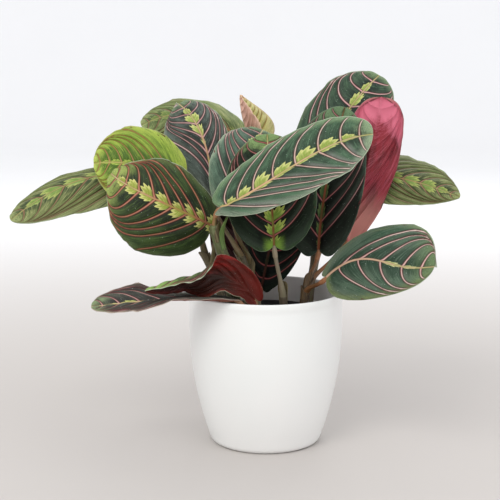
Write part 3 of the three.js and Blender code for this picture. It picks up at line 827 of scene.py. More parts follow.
def blade_surface(leaf, share, across, seed=0.0):
    """The upper side: its points, the way it looks, the share of the length, mm from the midrib."""
    veins = leaf["veins"]
    controls = midrib_controls(leaf)
    share, across = np.broadcast_arrays(share, across)
    a = along_blade(vein_place(share, veins["crowd"]), across, veins)
    place = np.maximum(a, 0)
    middle, along = bezier(controls, place)
    up = np.broadcast_to(np.array(leaf["face"], float), along.shape)
    up = up - (up * along).sum(-1, keepdims=True) * along
    up = up / np.linalg.norm(up, axis=-1, keepdims=True)
    up = turned_about(up, along, math.radians(leaf.get("turn", 0)) * smooth(place, TURN_START, TURN_END))

    widths = np.array(leaf.get("halves", (1, 1)), float) * leaf["width"] / 2
    blunt = leaf.get("blunt", TIP_BLUNT)
    left, right = [outline(a, widest, blunt) for widest in leaf.get("widest", (0.5, 0.5))]
    bend, twist = veins["drift"]
    drift = (bend * np.sin(math.pi * place) + twist * np.sin(2 * math.pi * place)) * leaf["width"] / 2
    v = np.abs(across)
    offset = drift * (1 - v) + np.where(across < 0, -left * widths[0], right * widths[1]) * v
    half = (offset >= 0).astype(int)
    sign = np.where(offset < 0, -1, 1)
    side = np.cross(along, up) * sign[..., None]
    arc = np.abs(offset)
    breadth = arc / widths[half]

    fold = np.radians(np.array(leaf["fold"], float))[half]
    turn = np.radians(np.array(leaf["curl"], float))[half] * breadth + 1e-6
    out = arc * (np.sin(fold + turn) - np.sin(fold)) / turn
    rise = arc * (np.cos(fold) - np.cos(fold + turn)) / turn
    points = middle + side * out[..., None] + up * rise[..., None]
    points = points + along * ((a - place) * curve_length(controls))[..., None]
    spine = math.radians(leaf["fold"][1] - leaf["fold"][0]) / 2 * sign
    lean = (spine + (fold + turn - spine) * smooth(arc, 0, FOLD_SOFTNESS))[..., None]
    normal = up * np.cos(lean) - side * np.sin(lean)
    lift = skin_lift(leaf, share, across, place, breadth, half, seed)
    return points + normal * lift[..., None], normal, place, np.abs(offset - drift)


halves, _, _, _ = blade_surface(LEAVES["front_long"], np.array([[0.5]]), np.array([[-1.0, 1.0]]))
print("front_long is about", round(float(np.linalg.norm(halves[0, 1] - halves[0, 0]))), "mm wide")

# %% [markdown]
# ## Distances on a leaf
# The colours follow three distances, to the nearest side vein, to the midrib and to the margin. They
# are measured on the points in millimetres and stored as marks, so that a line stays equally wide all
# along a leaf. A flat pattern wrapped over the blade would be stretched by its curl.

# %% Distances on a leaf
ROWS_IN_PANEL = (0, 0.035, 0.09, 0.17, 0.27, 0.38, 0.5, 0.62, 0.73, 0.83, 0.91, 0.965)
COLUMNS = 21
CROWDING = 1.3
CHUNK = 1000

half_columns = np.linspace(0, 1, COLUMNS) ** CROWDING
column_places = np.concatenate([-half_columns[:0:-1], half_columns])


def row_places(panels):
    rows = [(panel + row) / panels for panel in range(panels) for row in ROWS_IN_PANEL]
    return np.array([*rows, 1.0])


def unit(vectors):
    return vectors / (np.linalg.norm(vectors, axis=-1, keepdims=True) + 1e-9)


def leaf_distances(points, panels):
    """Millimetres from each point of the grid to the nearest side vein and to the margin."""
    steps = np.linalg.norm(np.diff(points, axis=0), axis=2)
    along = np.concatenate([np.zeros((1, points.shape[1])), np.cumsum(steps, axis=0)])
    lean = (unit(np.gradient(points, axis=1)) * unit(np.gradient(points, axis=0))).sum(-1)
    slant = np.sqrt(np.maximum(1 - lean ** 2, 0.02))
    veins = along[len(ROWS_IN_PANEL) * np.arange(1, panels)]
    vein = (np.abs(along[None] - veins[:, None]) * slant).min(0)
    margin = np.concatenate([points[:, 0], points[:, -1], points[0]])
    flat = points.reshape(-1, 3)
    edge = np.empty(len(flat))
    for start in range(0, len(flat), CHUNK):
        away = flat[start:start + CHUNK, None] - margin[None]
        edge[start:start + CHUNK] = np.sqrt((away ** 2).sum(-1)).min(1)
    return vein, edge.reshape(vein.shape)


print("one leaf's grid:", len(row_places(8)), "rows by", len(column_places), "columns")

# %% [markdown]
# ## One leaf's mesh
# A leaf is a closed body: an upper skin, a lower skin half a millimetre below it, and the thin edge
# between. Below, the midrib stands out as a round keel and each side vein as a fine ridge. Above, the
# midrib is a cord in a shallow trough. A Solidify modifier could give an even thickness, but not those.

# %% Two skins
def two_skins(index, gap):
    """Faces of an upper and a lower skin and of the edge between them.

    index holds the numbers of the upper points, row by row, and a number may repeat where rows meet.
    The lower points' numbers are higher by gap. which is 1 for the lower skin's faces."""
    faces, which = [], []
    for row, ahead in zip(index, index[1:]):
        for column in range(len(row) - 1):
            quad = (row[column], row[column + 1], ahead[column + 1], ahead[column])
            corners = tuple(dict.fromkeys(quad))
            faces += [corners, tuple(corner + gap for corner in corners[::-1])]
            which += [0, 1]
    around = np.concatenate([index[0], index[1:, -1], index[-1, -2::-1], index[-2:0:-1, 0]])
    rim = list(dict.fromkeys(around.tolist()))
    for here, after in zip(rim, rim[1:] + rim[:1]):
        faces.append((here, here + gap, after + gap, after))
        which.append(0)
    return faces, which


square = np.array([[0, 1], [2, 3]])
print("a square of four points becomes a box of", len(two_skins(square, square.size)[0]), "faces")

# %% Leaf mesh
BLADE_THICKNESS = 0.5
KEEL = 1.0
KEEL_WIDTH = 1.3
RIDGE = 0.25
RIDGE_WIDTH = 0.55
TROUGH = 0.5
TROUGH_WIDTH = 2.2
CORD = 0.4
CORD_WIDTH = 0.8
THIN_EDGE = 0.55
THIN_WIDTH = 1.5


def hump(distance, width):
    return np.exp(-(distance / width) ** 2)


def leaf_mesh(leaf, seed):
    panels = leaf["veins"]["panels"]
    share, across = np.meshgrid(row_places(panels), column_places, indexing="ij")
    upper, normal, place, midrib = blade_surface(leaf, share, across, seed)
    vein, edge = leaf_distances(upper, panels)
    trough = TROUGH * hump(midrib, TROUGH_WIDTH) - CORD * hump(midrib, CORD_WIDTH)
    keel = KEEL * hump(midrib, KEEL_WIDTH) * (1 - 0.75 * place)
    ridge = RIDGE * hump(vein, RIDGE_WIDTH) * (1 - smooth(np.abs(across), 0.6, 1))
    blade = BLADE_THICKNESS * (THIN_EDGE + (1 - THIN_EDGE) * smooth(edge, 0, THIN_WIDTH))
    top = upper - normal * (trough * smooth(edge, 0, 4))[..., None]
    below = upper - normal * (blade + keel + ridge)[..., None]
    rows, columns = share.shape
    count = (rows - 1) * columns + 1
    index = np.minimum(np.arange(rows * columns).reshape(rows, columns), count - 1)
    faces, which = two_skins(index, count)

    def both_skins(upper_grid, lower_grid):
        return np.concatenate([grid.reshape(-1, 3)[:count] for grid in (upper_grid, lower_grid)])

    places, distances = np.stack([share, across, place], -1), np.stack([vein, midrib, edge], -1)
    marks = {"leaf_place": both_skins(places, places), "leaf_mm": both_skins(distances, distances)}
    return both_skins(top, below), faces, which, marks


print("a leaf is", BLADE_THICKNESS, "mm thick, and", BLADE_THICKNESS + KEEL, "mm at its midrib")

# %% [markdown]
# ## Pale blotches
# A blotch is one half of a small jagged leaf. It could be painted, but a sum keeps its teeth sharp at
# any size. It is drawn about the point where its panel begins on the midrib: a spot's direction from
# there picks how far out the blotch goes. That length zigzags with the direction, which gives the
# teeth, and is shorter straight out from the midrib, which makes the blotch widen forward.

# %% Blotches
TEETH = 3.7
TOOTH_DEPTH = 0.24
BLOTCH_BEHIND = 0.5
CORNER = 2.6


def blotch_depth(finish, spot, midrib, draw, size):
    """How far a spot lies inside its panel's blotch, as a share of the blotch's size."""
    warp = finish.noise(finish.vector(spot * 9, midrib * 0.9, draw[0] + draw[2]), detail=2, rough=0.7)
    forward = (spot - 0.03 + (warp - 0.5) * 0.16).math("MAXIMUM", 0.001) * 1.08
    outward = midrib.math("DIVIDE", size + 0.01) * 0.8 + (warp - 0.5) * 0.1
    outward = outward.math("MAXIMUM", 0.001)
    way = outward.math("ARCTAN2", forward) * (2 / math.pi)
    radius = (forward ** CORNER + outward ** CORNER) ** (1 / CORNER)
    shift = finish.chance(finish.vector(*draw)) * 0.5
    zigzag = ((way * TEETH + shift).math("FRACT") * 2 - 1).math("ABSOLUTE")
    longest = (zigzag * TOOTH_DEPTH + (1 - TOOTH_DEPTH)) * (way ** 2 * -BLOTCH_BEHIND + 1)
    return longest - radius


print("a blotch has about", round(TEETH), "teeth")

# %% [markdown]
# ## The upper side's finish
# The pattern has a strict order. First comes the dark velvety ground, darkest in the core of each
# half. A painted highlight lies on the crown of each panel, and one side of each panel is painted in
# the light that the velvet catches there, or in its shade: paler on the dark leaves, darker on the pale
# ones. The ground turns paler and streaky towards the margin and the tip. Along the midrib stand the
# blotches, one to each panel and side, and some leaves have a pale pool at the stalk. A few pale specks
# follow, partly dust and partly painted sheen of the velvet. Over it all run the fine veins, each with
# a dark red line on both sides and a soft shadow, then the midrib, and a thin pale line along the edge,
# which is a painted highlight.

# %% Upper finish
VEIN_FADE = 2.5
DUST_AND_SHEEN_COLOUR = "c9d6cc"
BLADE_GRAIN = 0.00016


def blade_finish(name, look, seed, panels):
    velvet = dict(Sheen_Weight=look["sheen"], Sheen_Roughness=0.4, Specular_IOR_Level=look["shine"])
    finish = Finish(name, **velvet)
    share, across, place = finish.reads("leaf_place")
    vein, midrib, edge = finish.reads("leaf_mm")
    v = across.math("ABSOLUTE")
    half = across.math("GREATER_THAN", 0.0)
    panel = share * panels
    spot, number = panel.math("FRACT"), panel.math("FLOOR")
    fine = finish.noise(finish.vector(share * 160, across * 4, seed), detail=4, rough=0.75)
    broad = finish.noise(finish.vector(share * 60, across * 3, seed + 5), detail=3)
    cloud = finish.noise(finish.vector(place * 6, across * 3, seed + 9), detail=3)
    grain = finish.noise(finish.place(), scale=1500, detail=3, rough=0.7)
    dust_and_sheen = finish.noise(finish.place(), scale=1000, detail=1)
    lines = fine * 0.6 + broad * 0.4

    reach = v + (broad - 0.5) * 0.7 + (fine - 0.5) * 0.6 + (cloud - 0.5) * 0.6
    core = reach.step(look["core"], look["core"] * 0.4)
    finish.colour = finish.layer(core * look["core_share"], look["ground"], look["shade"])
    # Painted highlight: the crown of each panel is lighter, where its swell would face the light; it
    # takes the streaks' colour.
    painted_crown_light = (spot * math.pi).math("SINE") * cloud.step(0.3, 0.6) * v.step(0.1, 0.5)
    finish.coat(painted_crown_light * look["painted_crown_light"], look["streaks"])
    # Painted light and shade on one side of each panel: paler on dark leaves, darker on pale ones.
    painted_side_light = half * (look["painted_side_light"][1] - look["painted_side_light"][0]) + look["painted_side_light"][0]
    painted_side_light_mask = (spot + (fine - 0.5) * 0.5).step(0.5, 0.0) * v.step(0.08, 0.4) * painted_side_light
    finish.coat(painted_side_light_mask, look["painted_side_light_colour"])
    margin = finish.layer(half, look["margin"], look.get("margin_other", look["margin"]))
    feathered = edge + (broad - 0.5) * look["feather"] + (cloud - 0.5) * 6
    finish.coat(feathered.step(look["margin_reach"], 0.0), margin)
    glow = (place + (cloud - 0.5) * 0.2 + (fine - 0.5) * 0.1).step(*look["tip_place"])
    finish.coat(glow, look["tip"])
    finish.coat(lines.step(0.49, 0.38) * look["streak"], look["shade"])
    finish.coat(lines.step(0.51, 0.62) * look["streak"], look["streaks"])
    finish.coat(grain.step(0.5, 0.32) * 0.4, look["shade"])

    size = finish.chance(finish.vector(number, half, seed + 1)) * 0.45 + 0.7
    kept = place.step(look["blotch_from"] - 0.1, look["blotch_from"] + 0.25) * place.step(1.0, 0.7)
    other = half * (look["blotch_other"] - 1) + 1
    size = size * kept * other * look["blotch_size"]
    depth = blotch_depth(finish, spot, midrib, (number, half, seed), size)
    blotch = depth.step(-0.03, 0.03) * size.step(0.5, 1.0)
    inner = depth.step(0.03, 0.3) * fine.step(0.2, 0.55)
    pale = finish.layer(inner, look["blotch"], look["blotch_in"])
    pale = finish.layer(lines.step(0.54, 0.66) * 0.5, pale, look["blotch_in"])
    finish.coat(blotch * look["blotch_share"], pale)
    pool = (share + (broad - 0.5) * 0.05).step(0.11, 0.03) * (midrib + (fine - 0.5) * 6).step(10, 3)
    finish.coat(pool * look["pool"], look["blotch_in"])
    # Pale specks, partly dust and partly painted sheen of the velvet.
    finish.coat(dust_and_sheen.step(0.71, 0.79) * look["specks"], DUST_AND_SHEEN_COLOUR)

    narrow = (v * -0.4 + broad * 0.6 + 0.75) * look["vein_width"]
    fading = edge.step(0.2, VEIN_FADE)
    beside = vein - narrow * 0.5
    finish.coat(beside.step(1.6, 0.3) * fading * look["shadow"], look["vein_shadow"])
    finish.coat(beside.step(0.55, 0.15) * fading * look["vein_strength"], look["vein_rim"])
    thread = beside.step(0.15, -0.2) * fading * look["vein_strength"]
    tint = finish.layer(v.step(0.1, 0.9), look["vein"], look["vein_out"])
    finish.coat(thread, finish.layer(cloud.step(0.45, 0.7) * 0.35, tint, look["vein_rim"]))

    beside = midrib - (place * -0.55 + 1) * look["midrib_width"] * 0.5
    finish.coat(beside.step(0.8, 0.0) * 0.45, look["vein_rim"])
    cord = finish.layer(place.step(0.3, 0.9), look["midrib"], look["midrib_out"])
    cord = finish.layer(cloud.step(0.5, 0.6) * 0.5, cord, look["blotch_in"])
    finish.coat(beside.step(0.25, -0.15), cord)
    # Painted highlight: a thin pale line along the edge.
    finish.coat(edge.step(look["edge_highlight_width"], 0.1) * 0.85, look["edge"])
    height = fine * 0.7 + grain * 0.3 + thread * 0.8
    return finish.paint(fine * 0.16 + grain * 0.12 + 0.5, height, BLADE_GRAIN)


print("veins fade out over the last", VEIN_FADE, "mm before the edge")

# %% [markdown]
# ## How the leaves differ
# Old leaves are dark and velvety, those in bright light olive, young ones lime. Each kind starts from
# the dark one and names only what differs, and single leaves then differ from their kind.

# %% Kinds of leaf
DARK = dict(
    ground="243c2b", shade="14231a", core=0.8, core_share=0.7, painted_crown_light=0.35, streaks="557354", streak=0.5,
    margin="5f7a56", margin_reach=6.0, feather=8.0, tip="7d9468", tip_place=(0.88, 1.04),
    painted_side_light=(0.2, 0.2), painted_side_light_colour="6d7c6c", blotch="c9cb7e", blotch_in="8fa24a", blotch_size=7.4,
    blotch_from=0.0, blotch_other=0.8, blotch_share=0.95, pool=0.0, vein="d3aa9e", vein_out="dcc6ba",
    vein_width=1.1, vein_strength=0.9, vein_rim="6a3436", vein_shadow="2c1718", shadow=0.6,
    midrib="b98f6e", midrib_out="b3a376", midrib_width=1.5, edge="b2bea4", edge_highlight_width=0.65, specks=0.5,
    sheen=0.015, shine=0.28,
)
OLIVE = DARK | dict(
    ground="66733c", shade="2f3d20", core=0.5, core_share=0.85, painted_crown_light=0.3, streaks="a3a472", streak=0.8,
    margin="8f9a66", feather=12.0, tip="96a066", painted_side_light=(0.35, 0.35), painted_side_light_colour="46552a",
    blotch="a3ad60", blotch_in="6e8a3e", blotch_size=8.0, blotch_other=1.0, vein="a47a60",
    vein_out="a09a72", vein_width=0.7, vein_strength=0.75, vein_rim="6a4a34", vein_shadow="33401f",
    shadow=0.45, midrib="a07c50", midrib_out="98955c", midrib_width=1.3, specks=0.1,
)
LIME = DARK | dict(
    ground="76922f", shade="3c5c1c", core=0.6, core_share=0.85, painted_crown_light=0.3, streaks="b2c254", streak=0.6,
    margin="a6b650", margin_reach=9.0, feather=10.0, tip="b4c25e", painted_side_light=(0.35, 0.35),
    painted_side_light_colour="5f7a2a", blotch="b5c65c", blotch_in="7d993c", blotch_size=4.5, vein="b89064",
    vein_out="9a6c40", vein_width=0.75, vein_strength=0.85, vein_rim="7e5a2c", vein_shadow="5c7426",
    shadow=0.35, midrib="a08c50", midrib_out="aaa85c", edge="b8b07c", specks=0.05,
)
print("a leaf's look is given by", len(DARK), "numbers and colours")

# %% Looks of single leaves
LOOKS = {
    "front_long": DARK | dict(
        ground="29452c", shade="182a1c", streaks="5f8062", margin="76906a", margin_other="7c8874",
        margin_reach=7.5, tip="8fa27c", painted_side_light=(0.1, 0.75), painted_side_light_colour="8a8c84", blotch_size=8.4,
        blotch_other=0.85, vein="d2b2a3", vein_out="d9c7b9", vein_rim="593430", midrib="c9a27c",
        midrib_width=1.9, specks=0.6),
    "front_left": DARK | dict(
        ground="2b4020", shade="10190c", core=0.9, core_share=0.85, streaks="566c34", streak=0.65,
        margin="5c7040", margin_other="5a6438", margin_reach=7.0, feather=12.0, tip="a2b25c",
        tip_place=(0.74, 0.96), painted_side_light=(0.3, 0.3), painted_side_light_colour="49602c", blotch="cac878",
        blotch_in="8c9a3a", blotch_from=-0.2, blotch_other=1.0, vein="bc8468", vein_out="b0815c",
        vein_width=1.0, vein_rim="7c3630", vein_shadow="30140e", shadow=0.7, midrib="a8704c", specks=0.4),
    "left_lime": LIME,
    "left_far": OLIVE,
    "upper_left": DARK | dict(
        ground="27362b", shade="121a15", painted_crown_light=0.4, streaks="78877d", margin="727c6c",
        margin_other="66725f", painted_side_light=(0.65, 0.3), painted_side_light_colour="7c8478", blotch_size=7.6,
        blotch_from=0.45, vein="c8a49e", vein_out="d2beb6"),
    "upper_middle": DARK | dict(
        ground="2f4636", shade="1b2b21", painted_crown_light=0.45, streaks="6c8872", margin="8b9d84", blotch_from=0.4,
        vein="c99f98", vein_out="d0b8ae", specks=0.4),
    "new_leaf": LIME | dict(
        ground="c6c07a", shade="98a048", core_share=0.5, streaks="dcd49c", margin="d0c894",
        tip="cf9c84", tip_place=(0.86, 0.96), blotch_size=1.0, blotch_share=0.2, vein="b8925f",
        vein_rim="b0985f", shadow=0.0, edge="d0b08c", edge_highlight_width=0.9),
    "upper_back": OLIVE | dict(ground="6f8048", shade="44562c", margin="8c9a62", blotch_share=0.5),
    "upper_right": DARK | dict(
        ground="263a2b", shade="14211a", margin="64765a", blotch_size=5.4, blotch_from=0.3,
        vein="d2a7a2", vein_out="d3b8b0", vein_width=1.15),
    "right_far": OLIVE | dict(
        ground="5f6d3a", shade="2b3519", margin="86925a", blotch="a3ad5e", vein="b08470"),
    "right_low": DARK | dict(
        ground="35523c", shade="1d3325", core=0.7, painted_crown_light=0.4, streaks="6d7f6c", streak=0.4,
        margin="73835e", margin_other="788656", margin_reach=7.0, tip="647a50", tip_place=(0.72, 1.06),
        painted_side_light=(0.65, 0.5), painted_side_light_colour="7a8474", blotch="d2d49a", blotch_size=2.6, blotch_from=0.45,
        vein="d4b0a6", vein_out="e0cec2", midrib="c8a488"),
    # The three centre leaves stand deep among the others; their near-black grounds, margins and streaks
    # are painted shade.
    "centre_front": DARK | dict(
        ground="141e12", shade="080c07", painted_crown_light=0.2, streaks="2c3e2a", streak=0.4, margin="35492f",
        margin_reach=4.0, feather=4.0, tip="7c9660", tip_place=(0.82, 0.9), blotch="a6b258",
        blotch_in="6f9038", blotch_size=10.5, blotch_other=1.0, pool=1.0, vein="a8645e",
        vein_out="ac8078", vein_width=0.9, vein_rim="4e2020", midrib="7c4a30", edge="75836c",
        specks=0.15, sheen=0.0, shine=0.12),
    "centre_right": DARK | dict(
        ground="12170f", shade="090a07", painted_crown_light=0.15, streaks="263529", streak=0.35, margin="38473b",
        margin_reach=3.5, feather=5.0, tip="66805c", tip_place=(0.8, 0.9), blotch="56683a",
        blotch_in="38502a", blotch_size=5.0, vein="9c6260", vein_out="aa8a84", vein_width=0.9,
        vein_rim="42201f", midrib="7c462e", midrib_out="7a5a3c", midrib_width=1.8, edge="6c7866",
        specks=0.15, sheen=0.0, shine=0.12),
    "centre_low": DARK | dict(
        ground="101610", shade="090c0a", painted_crown_light=0.1, streaks="1e2a20", streak=0.2, margin="1a241c",
        tip="101610", blotch="2a3c26", blotch_in="223420", blotch_size=2.0, vein="9a5450",
        vein_out="a0625c", vein_width=1.0, vein_rim="4c2424", midrib="4a2a22", edge="2a332a",
        specks=0.05, sheen=0.0, shine=0.1),
    "left_low": DARK | dict(
        ground="3e403a", shade="272624", core_share=0.5, streaks="6a6a5c", margin="6a5c54",
        tip="84976c", tip_place=(0.84, 1.0), blotch_size=3.4, blotch_from=0.6, vein="c09890",
        vein_out="c4a89c", vein_width=0.9, midrib_out="d0bc90", edge="b8a898"),
    "curled_red": DARK | dict(
        ground="566a3c", shade="3c4c2c", streaks="7e9458", streak=0.6, margin="5c4a38", tip="86a656",
        tip_place=(0.75, 0.9), blotch_size=1.0, blotch_share=0.2, vein="b98a80", vein_out="b8887c"),
}
print("looks:", len(LOOKS), "named, the others dark")

# %% [markdown]
# ## The underside's finish
# Below, the leaf is wine red, from pigment that throws light back through the blade, with faint
# veins. The red is painted brighter towards the tip, where light falls through the blade, and it is
# brownish at the base. On the two leaves that show it, one half is darker by painted shade, where that
# half is turned away from the light. It could be a plain red, but that would look like felt, so fine
# streaks run with the veins.

# %% Underside finish
UNDER = dict(
    ground="5a1c24", shade="360f15", margin="6a3432", blush="8c3840", blush_share=0.35,
    glow_place=(1.0, 1.2), base="66362c", shaded_half=0.0, shaded_half_place=(-0.1, 0.6), vein="8a5650",
    vein_share=0.5, midrib="8a5848", midrib_share=0.8, edge="9a8878", specks=0.0,
)
UNDERSIDES = {
    "red_back": UNDER | dict(
        ground="82202a", shade="4a1210", margin="9c444e", blush="cb6a7e", blush_share=0.45,
        glow_place=(0.72, 0.84), base="c48478", shaded_half=0.75, vein="c0707a", vein_share=0.08,
        midrib="6a2420", midrib_share=0.12, edge="b88078"),
    "curled_red": UNDER | dict(
        ground="8a1610", shade="2a140a", margin="6a1c14", blush="a0241a", base="5c1a10", shaded_half=0.95,
        shaded_half_place=(-0.55, 0.15), vein="7a241c", vein_share=0.08, midrib="30200c", midrib_share=0.2,
        edge="8a4c3c", specks=0.6),
    "new_leaf": UNDER | dict(
        ground="d8ac96", shade="c09880", margin="dcb8a0", blush="e0b4a4", glow_place=(0.3, 0.9),
        base="c8b484", vein="c09c78", midrib="c4a47c", edge="e4c8ac"),
    "left_low": UNDER | dict(ground="5c2422", shade="3c1817"),
    # back_low's underside is darkened nearly to black by painted shade, as it stands deep inside the
    # plant.
    "back_low": UNDER | dict(ground="2c1414", shade="1c0d0d", base="241410", vein="4c2c2a"),
}
UNDER_MARGIN = 4.0


def underside_finish(name, look, seed):
    finish = Finish(name, Sheen_Weight=0.02, Specular_IOR_Level=0.25)
    share, across, place = finish.reads("leaf_place")
    vein, midrib, edge = finish.reads("leaf_mm")
    fine = finish.noise(finish.vector(share * 200, across * 4, seed), detail=4, rough=0.7)
    cloud = finish.noise(finish.vector(place * 3, across * 1.6, seed + 4), detail=4, rough=0.6)
    grain = finish.noise(finish.place(), scale=1800, detail=2)
    finish.colour = finish.layer(cloud.step(0.4, 0.62) * 0.9, look["ground"], look["shade"])
    finish.coat(fine.step(0.48, 0.66) * look["blush_share"], look["blush"])
    # Painted shade: one half is darkened where it is turned away from the light.
    dark = (across + (cloud - 0.5) * 0.8 + (fine - 0.5) * 0.3).step(*look["shaded_half_place"])
    finish.coat(dark * look["shaded_half"], look["shade"])
    # Painted light: the red brightens towards the tip, where light falls through the blade.
    glow = (place + (cloud - 0.5) * 0.5 + (fine - 0.5) * 0.1).step(*look["glow_place"])
    finish.coat(glow, look["blush"])
    finish.coat((place + (fine - 0.5) * 0.2).step(0.42, 0.12) * 0.85, look["base"])
    finish.coat((edge + (fine - 0.5) * 3).step(UNDER_MARGIN, 0.0) * 0.7, look["margin"])
    finish.coat(vein.step(0.7, 0.1) * edge.step(0.5, 4.0) * look["vein_share"], look["vein"])
    finish.coat(midrib.step(1.2, 0.4) * look["midrib_share"], look["midrib"])
    finish.coat(grain.step(0.7, 0.76) * look["specks"], "d8d0c0")
    # Painted highlight: a thin pale line along the edge.
    finish.coat(edge.step(0.5, 0.1) * 0.7, look["edge"])
    return finish.paint(fine * 0.15 + grain * 0.1 + 0.38, fine * 0.7 + grain * 0.3, BLADE_GRAIN)


print("the underside finish is ready")

# %% [markdown]
# ## Grow the leaves
# Each leaf gets a seed of its own, so that no two have the same blotches and streaks.

# %% Leaves
SLOTS = {
    "left_lime": "blade_lime", "new_leaf": "blade_lime", "left_far": "blade_olive",
    "upper_back": "blade_olive", "right_far": "blade_olive", "red_back": "blade_red",
    "curled_red": "blade_red",
}
leaf_faces = 0
for order, (name, leaf) in enumerate(LEAVES.items()):
    seed = 3.7 * order
    points, faces, which, marks = leaf_mesh(leaf, seed)
    upper = blade_finish("upper_" + name, LOOKS.get(name, DARK), seed, leaf["veins"]["panels"])
    under = underside_finish("under_" + name, UNDERSIDES.get(name, UNDER), seed)
    slot = SLOTS.get(name, "blade_dark")
    make_piece("blade_" + name, points, faces, [upper, under], slot, "leaf_" + name, which, marks)
    leaf_faces += len(faces)
print("leaves:", len(LEAVES), "with", leaf_faces, "faces")

# %% [markdown]
# ## Stems and stalks
# A shoot is a short stem wrapped in old sheaths. Each leaf stands on a slender stalk, whose lower
# part is a sheath that clasps the stem, and whose last centimetre is a swollen joint. That joint
# bends at dusk and folds the leaves up, as hands in prayer. Tubes along the frame's own curves carry
# all of it, with the thickness, the sheath's open seam and the joint worked out along each tube.

# %% Shoot places
STEM_RADII = (3.8, 2.8)
WING_SHARE = 0.7
SHOOTS = {
    "front_left": dict(
        root=(-23, -29), top=(-39, -39, 177), radii=(5, 3.9), leaves={"front_long": 0.92},
        wing=dict(facing=-0.15, length=25.0, spread=1.2, lean=1.0)),
    "left": dict(
        root=(-31, -8), top=(-48, 2, 150),
        leaves={"front_left": 0.6, "left_lime": 0.9, "left_far": 0.8}),
    "middle_left": dict(root=(-7, -12), top=(-19, -7, 148), leaves={"upper_left": 0.9}),
    "middle": dict(root=(-14, 5), top=(-11, 5, 138), leaves={"upper_middle": 0.9}),
    "back": dict(
        root=(-8, 30), top=(-6, 44, 150),
        leaves={"new_leaf": 0.9, "upper_back": 0.8, "back_middle": 0.7, "back_low": 0.3}),
    "back_left": dict(root=(-33, 20), top=(-40, 34, 130), leaves={"back_left": 0.9}),
    "front": dict(root=(14, -25), top=(13, -26, 120), leaves={"centre_front": 0.9}),
    "low": dict(root=(-8, -2), top=(-6, 4, 106), leaves={"centre_low": 0.8}),
    "front_low": dict(root=(-6, -31), top=(-7, -31, 108), radii=(3, 2.4), leaves={"curled_red": 0.9}),
    "front_edge": dict(root=(-10, -39), top=(-13, -46, 108), radii=(2.6, 2.2), leaves={"left_low": 0.8}),
    "right": dict(
        root=(28, -17), top=(32, -14, 130),
        leaves={"red_back": 0.7, "right_low": 0.6, "centre_right": 0.9}),
    "back_right": dict(
        root=(34, 16), top=(42, 28, 150),
        leaves={"upper_right": 0.9, "right_far": 0.7, "back_right": 0.8}),
}
print("shoots:", len(SHOOTS))

# %% Tubes
TUBE_SIDES = 24
tube_angles = np.arange(TUBE_SIDES) * 2 * math.pi / TUBE_SIDES


def tube(centres, radii):
    """A closed round tube, with a radius for each centre and side. Its marks follow the skin."""
    ahead = np.gradient(centres, axis=0)
    ahead /= np.linalg.norm(ahead, axis=1, keepdims=True)
    across = np.array([1.0, 0.0, 0.0])
    rings = []
    for centre, way, radius in zip(centres, ahead, radii):
        across = across - across.dot(way) * way
        across /= np.linalg.norm(across)
        other = np.cross(way, across)
        ray = np.outer(np.cos(tube_angles), across) + np.outer(np.sin(tube_angles), other)
        rings.append(centre + ray * radius[:, None])
    points, faces = capped_rings(rings, centres[0], centres[-1])
    run = run_along(centres)
    count = len(centres)
    skin = np.stack([
        np.tile(np.cos(tube_angles), count), np.tile(np.sin(tube_angles), count),
        np.repeat(run, TUBE_SIDES)], 1)
    return points, faces, np.concatenate([skin, [[0, 0, 0]], [[0, 0, run[-1]]]])


print("tubes have", TUBE_SIDES, "sides")

# %% [markdown]
# ## The stem
# A stem swells a little at each node, where a leaf once grew, and fine ribs run along it. A curve
# with a bevel would be quicker, but its section stays round. The lower end goes on into its hole in
# the soil, so that no gap shows at the ground.

# %% Stem shape
STEM_STEPS = 70
STEM_BURIED = 12
NODE_EVERY = 24.0
NODE_SWELL = 0.45
NODE_WIDTH = 1.6
ROUND_FROM = 0.965
STEM_RIBS = (11, 0.05)


def ribbed(ribs):
    number, depth = ribs
    return depth * np.cos(number * tube_angles)[None]


def stem_controls(shoot):
    foot = np.array([*shoot["root"], soil_top + SOIL_DOME + 1], float)
    top = np.array(shoot["top"], float)
    return foot, foot + np.array([0, 0, 0.45 * (top - foot)[2]]), foot + (top - foot) * 0.75, top


def stem_tube(shoot):
    """The stem from a little below the soil to its rounded top, with its rings and ribs."""
    controls = stem_controls(shoot)
    up_part, _ = bezier(controls, np.linspace(0, 1, STEM_STEPS))
    low_part = np.linspace(up_part[0] - [0, 0, STEM_BURIED], up_part[0], 8)[:-1]
    share = np.concatenate([np.zeros(len(low_part)), np.linspace(0, 1, STEM_STEPS)])
    low, high = shoot.get("radii", STEM_RADII)
    place = (share * curve_length(controls) + 8) % NODE_EVERY - NODE_EVERY / 2
    plain = low + (high - low) * share + NODE_SWELL * hump(place, NODE_WIDTH)
    past = ((share - ROUND_FROM) / (1 - ROUND_FROM)).clip(0)
    close = np.sqrt(np.clip(1 - past ** 2, 0.02, 1))
    radii = (plain * close)[:, None] * (1 + ribbed(STEM_RIBS))
    points, faces, skin = tube(np.concatenate([low_part, up_part]), radii)
    return points, faces, skin, np.zeros(len(points))


print("a stem has a node every", NODE_EVERY, "mm")

# %% [markdown]
# ## The stalk
# From the stem upwards a stalk is first a clasping sheath with an open seam, then slender, and last a
# joint, which is thicker and has no ribs. They could be three tubes, but the real ones grow into each
# other without an edge, so it is one tube whose radius changes along its run.

# %% Stalk shape
STALK_STEPS = 80
STALK_RADIUS = 1.5
STALK_RIBS = (9, 0.03)
STALK_LEAVE = 0.25
STALK_ARRIVE = 0.35
JOINT_RADIUS = 1.95
JOINT_LENGTH = 9
SHEATH_RADIUS = 2.7
SHEATH_SHARE = 0.45


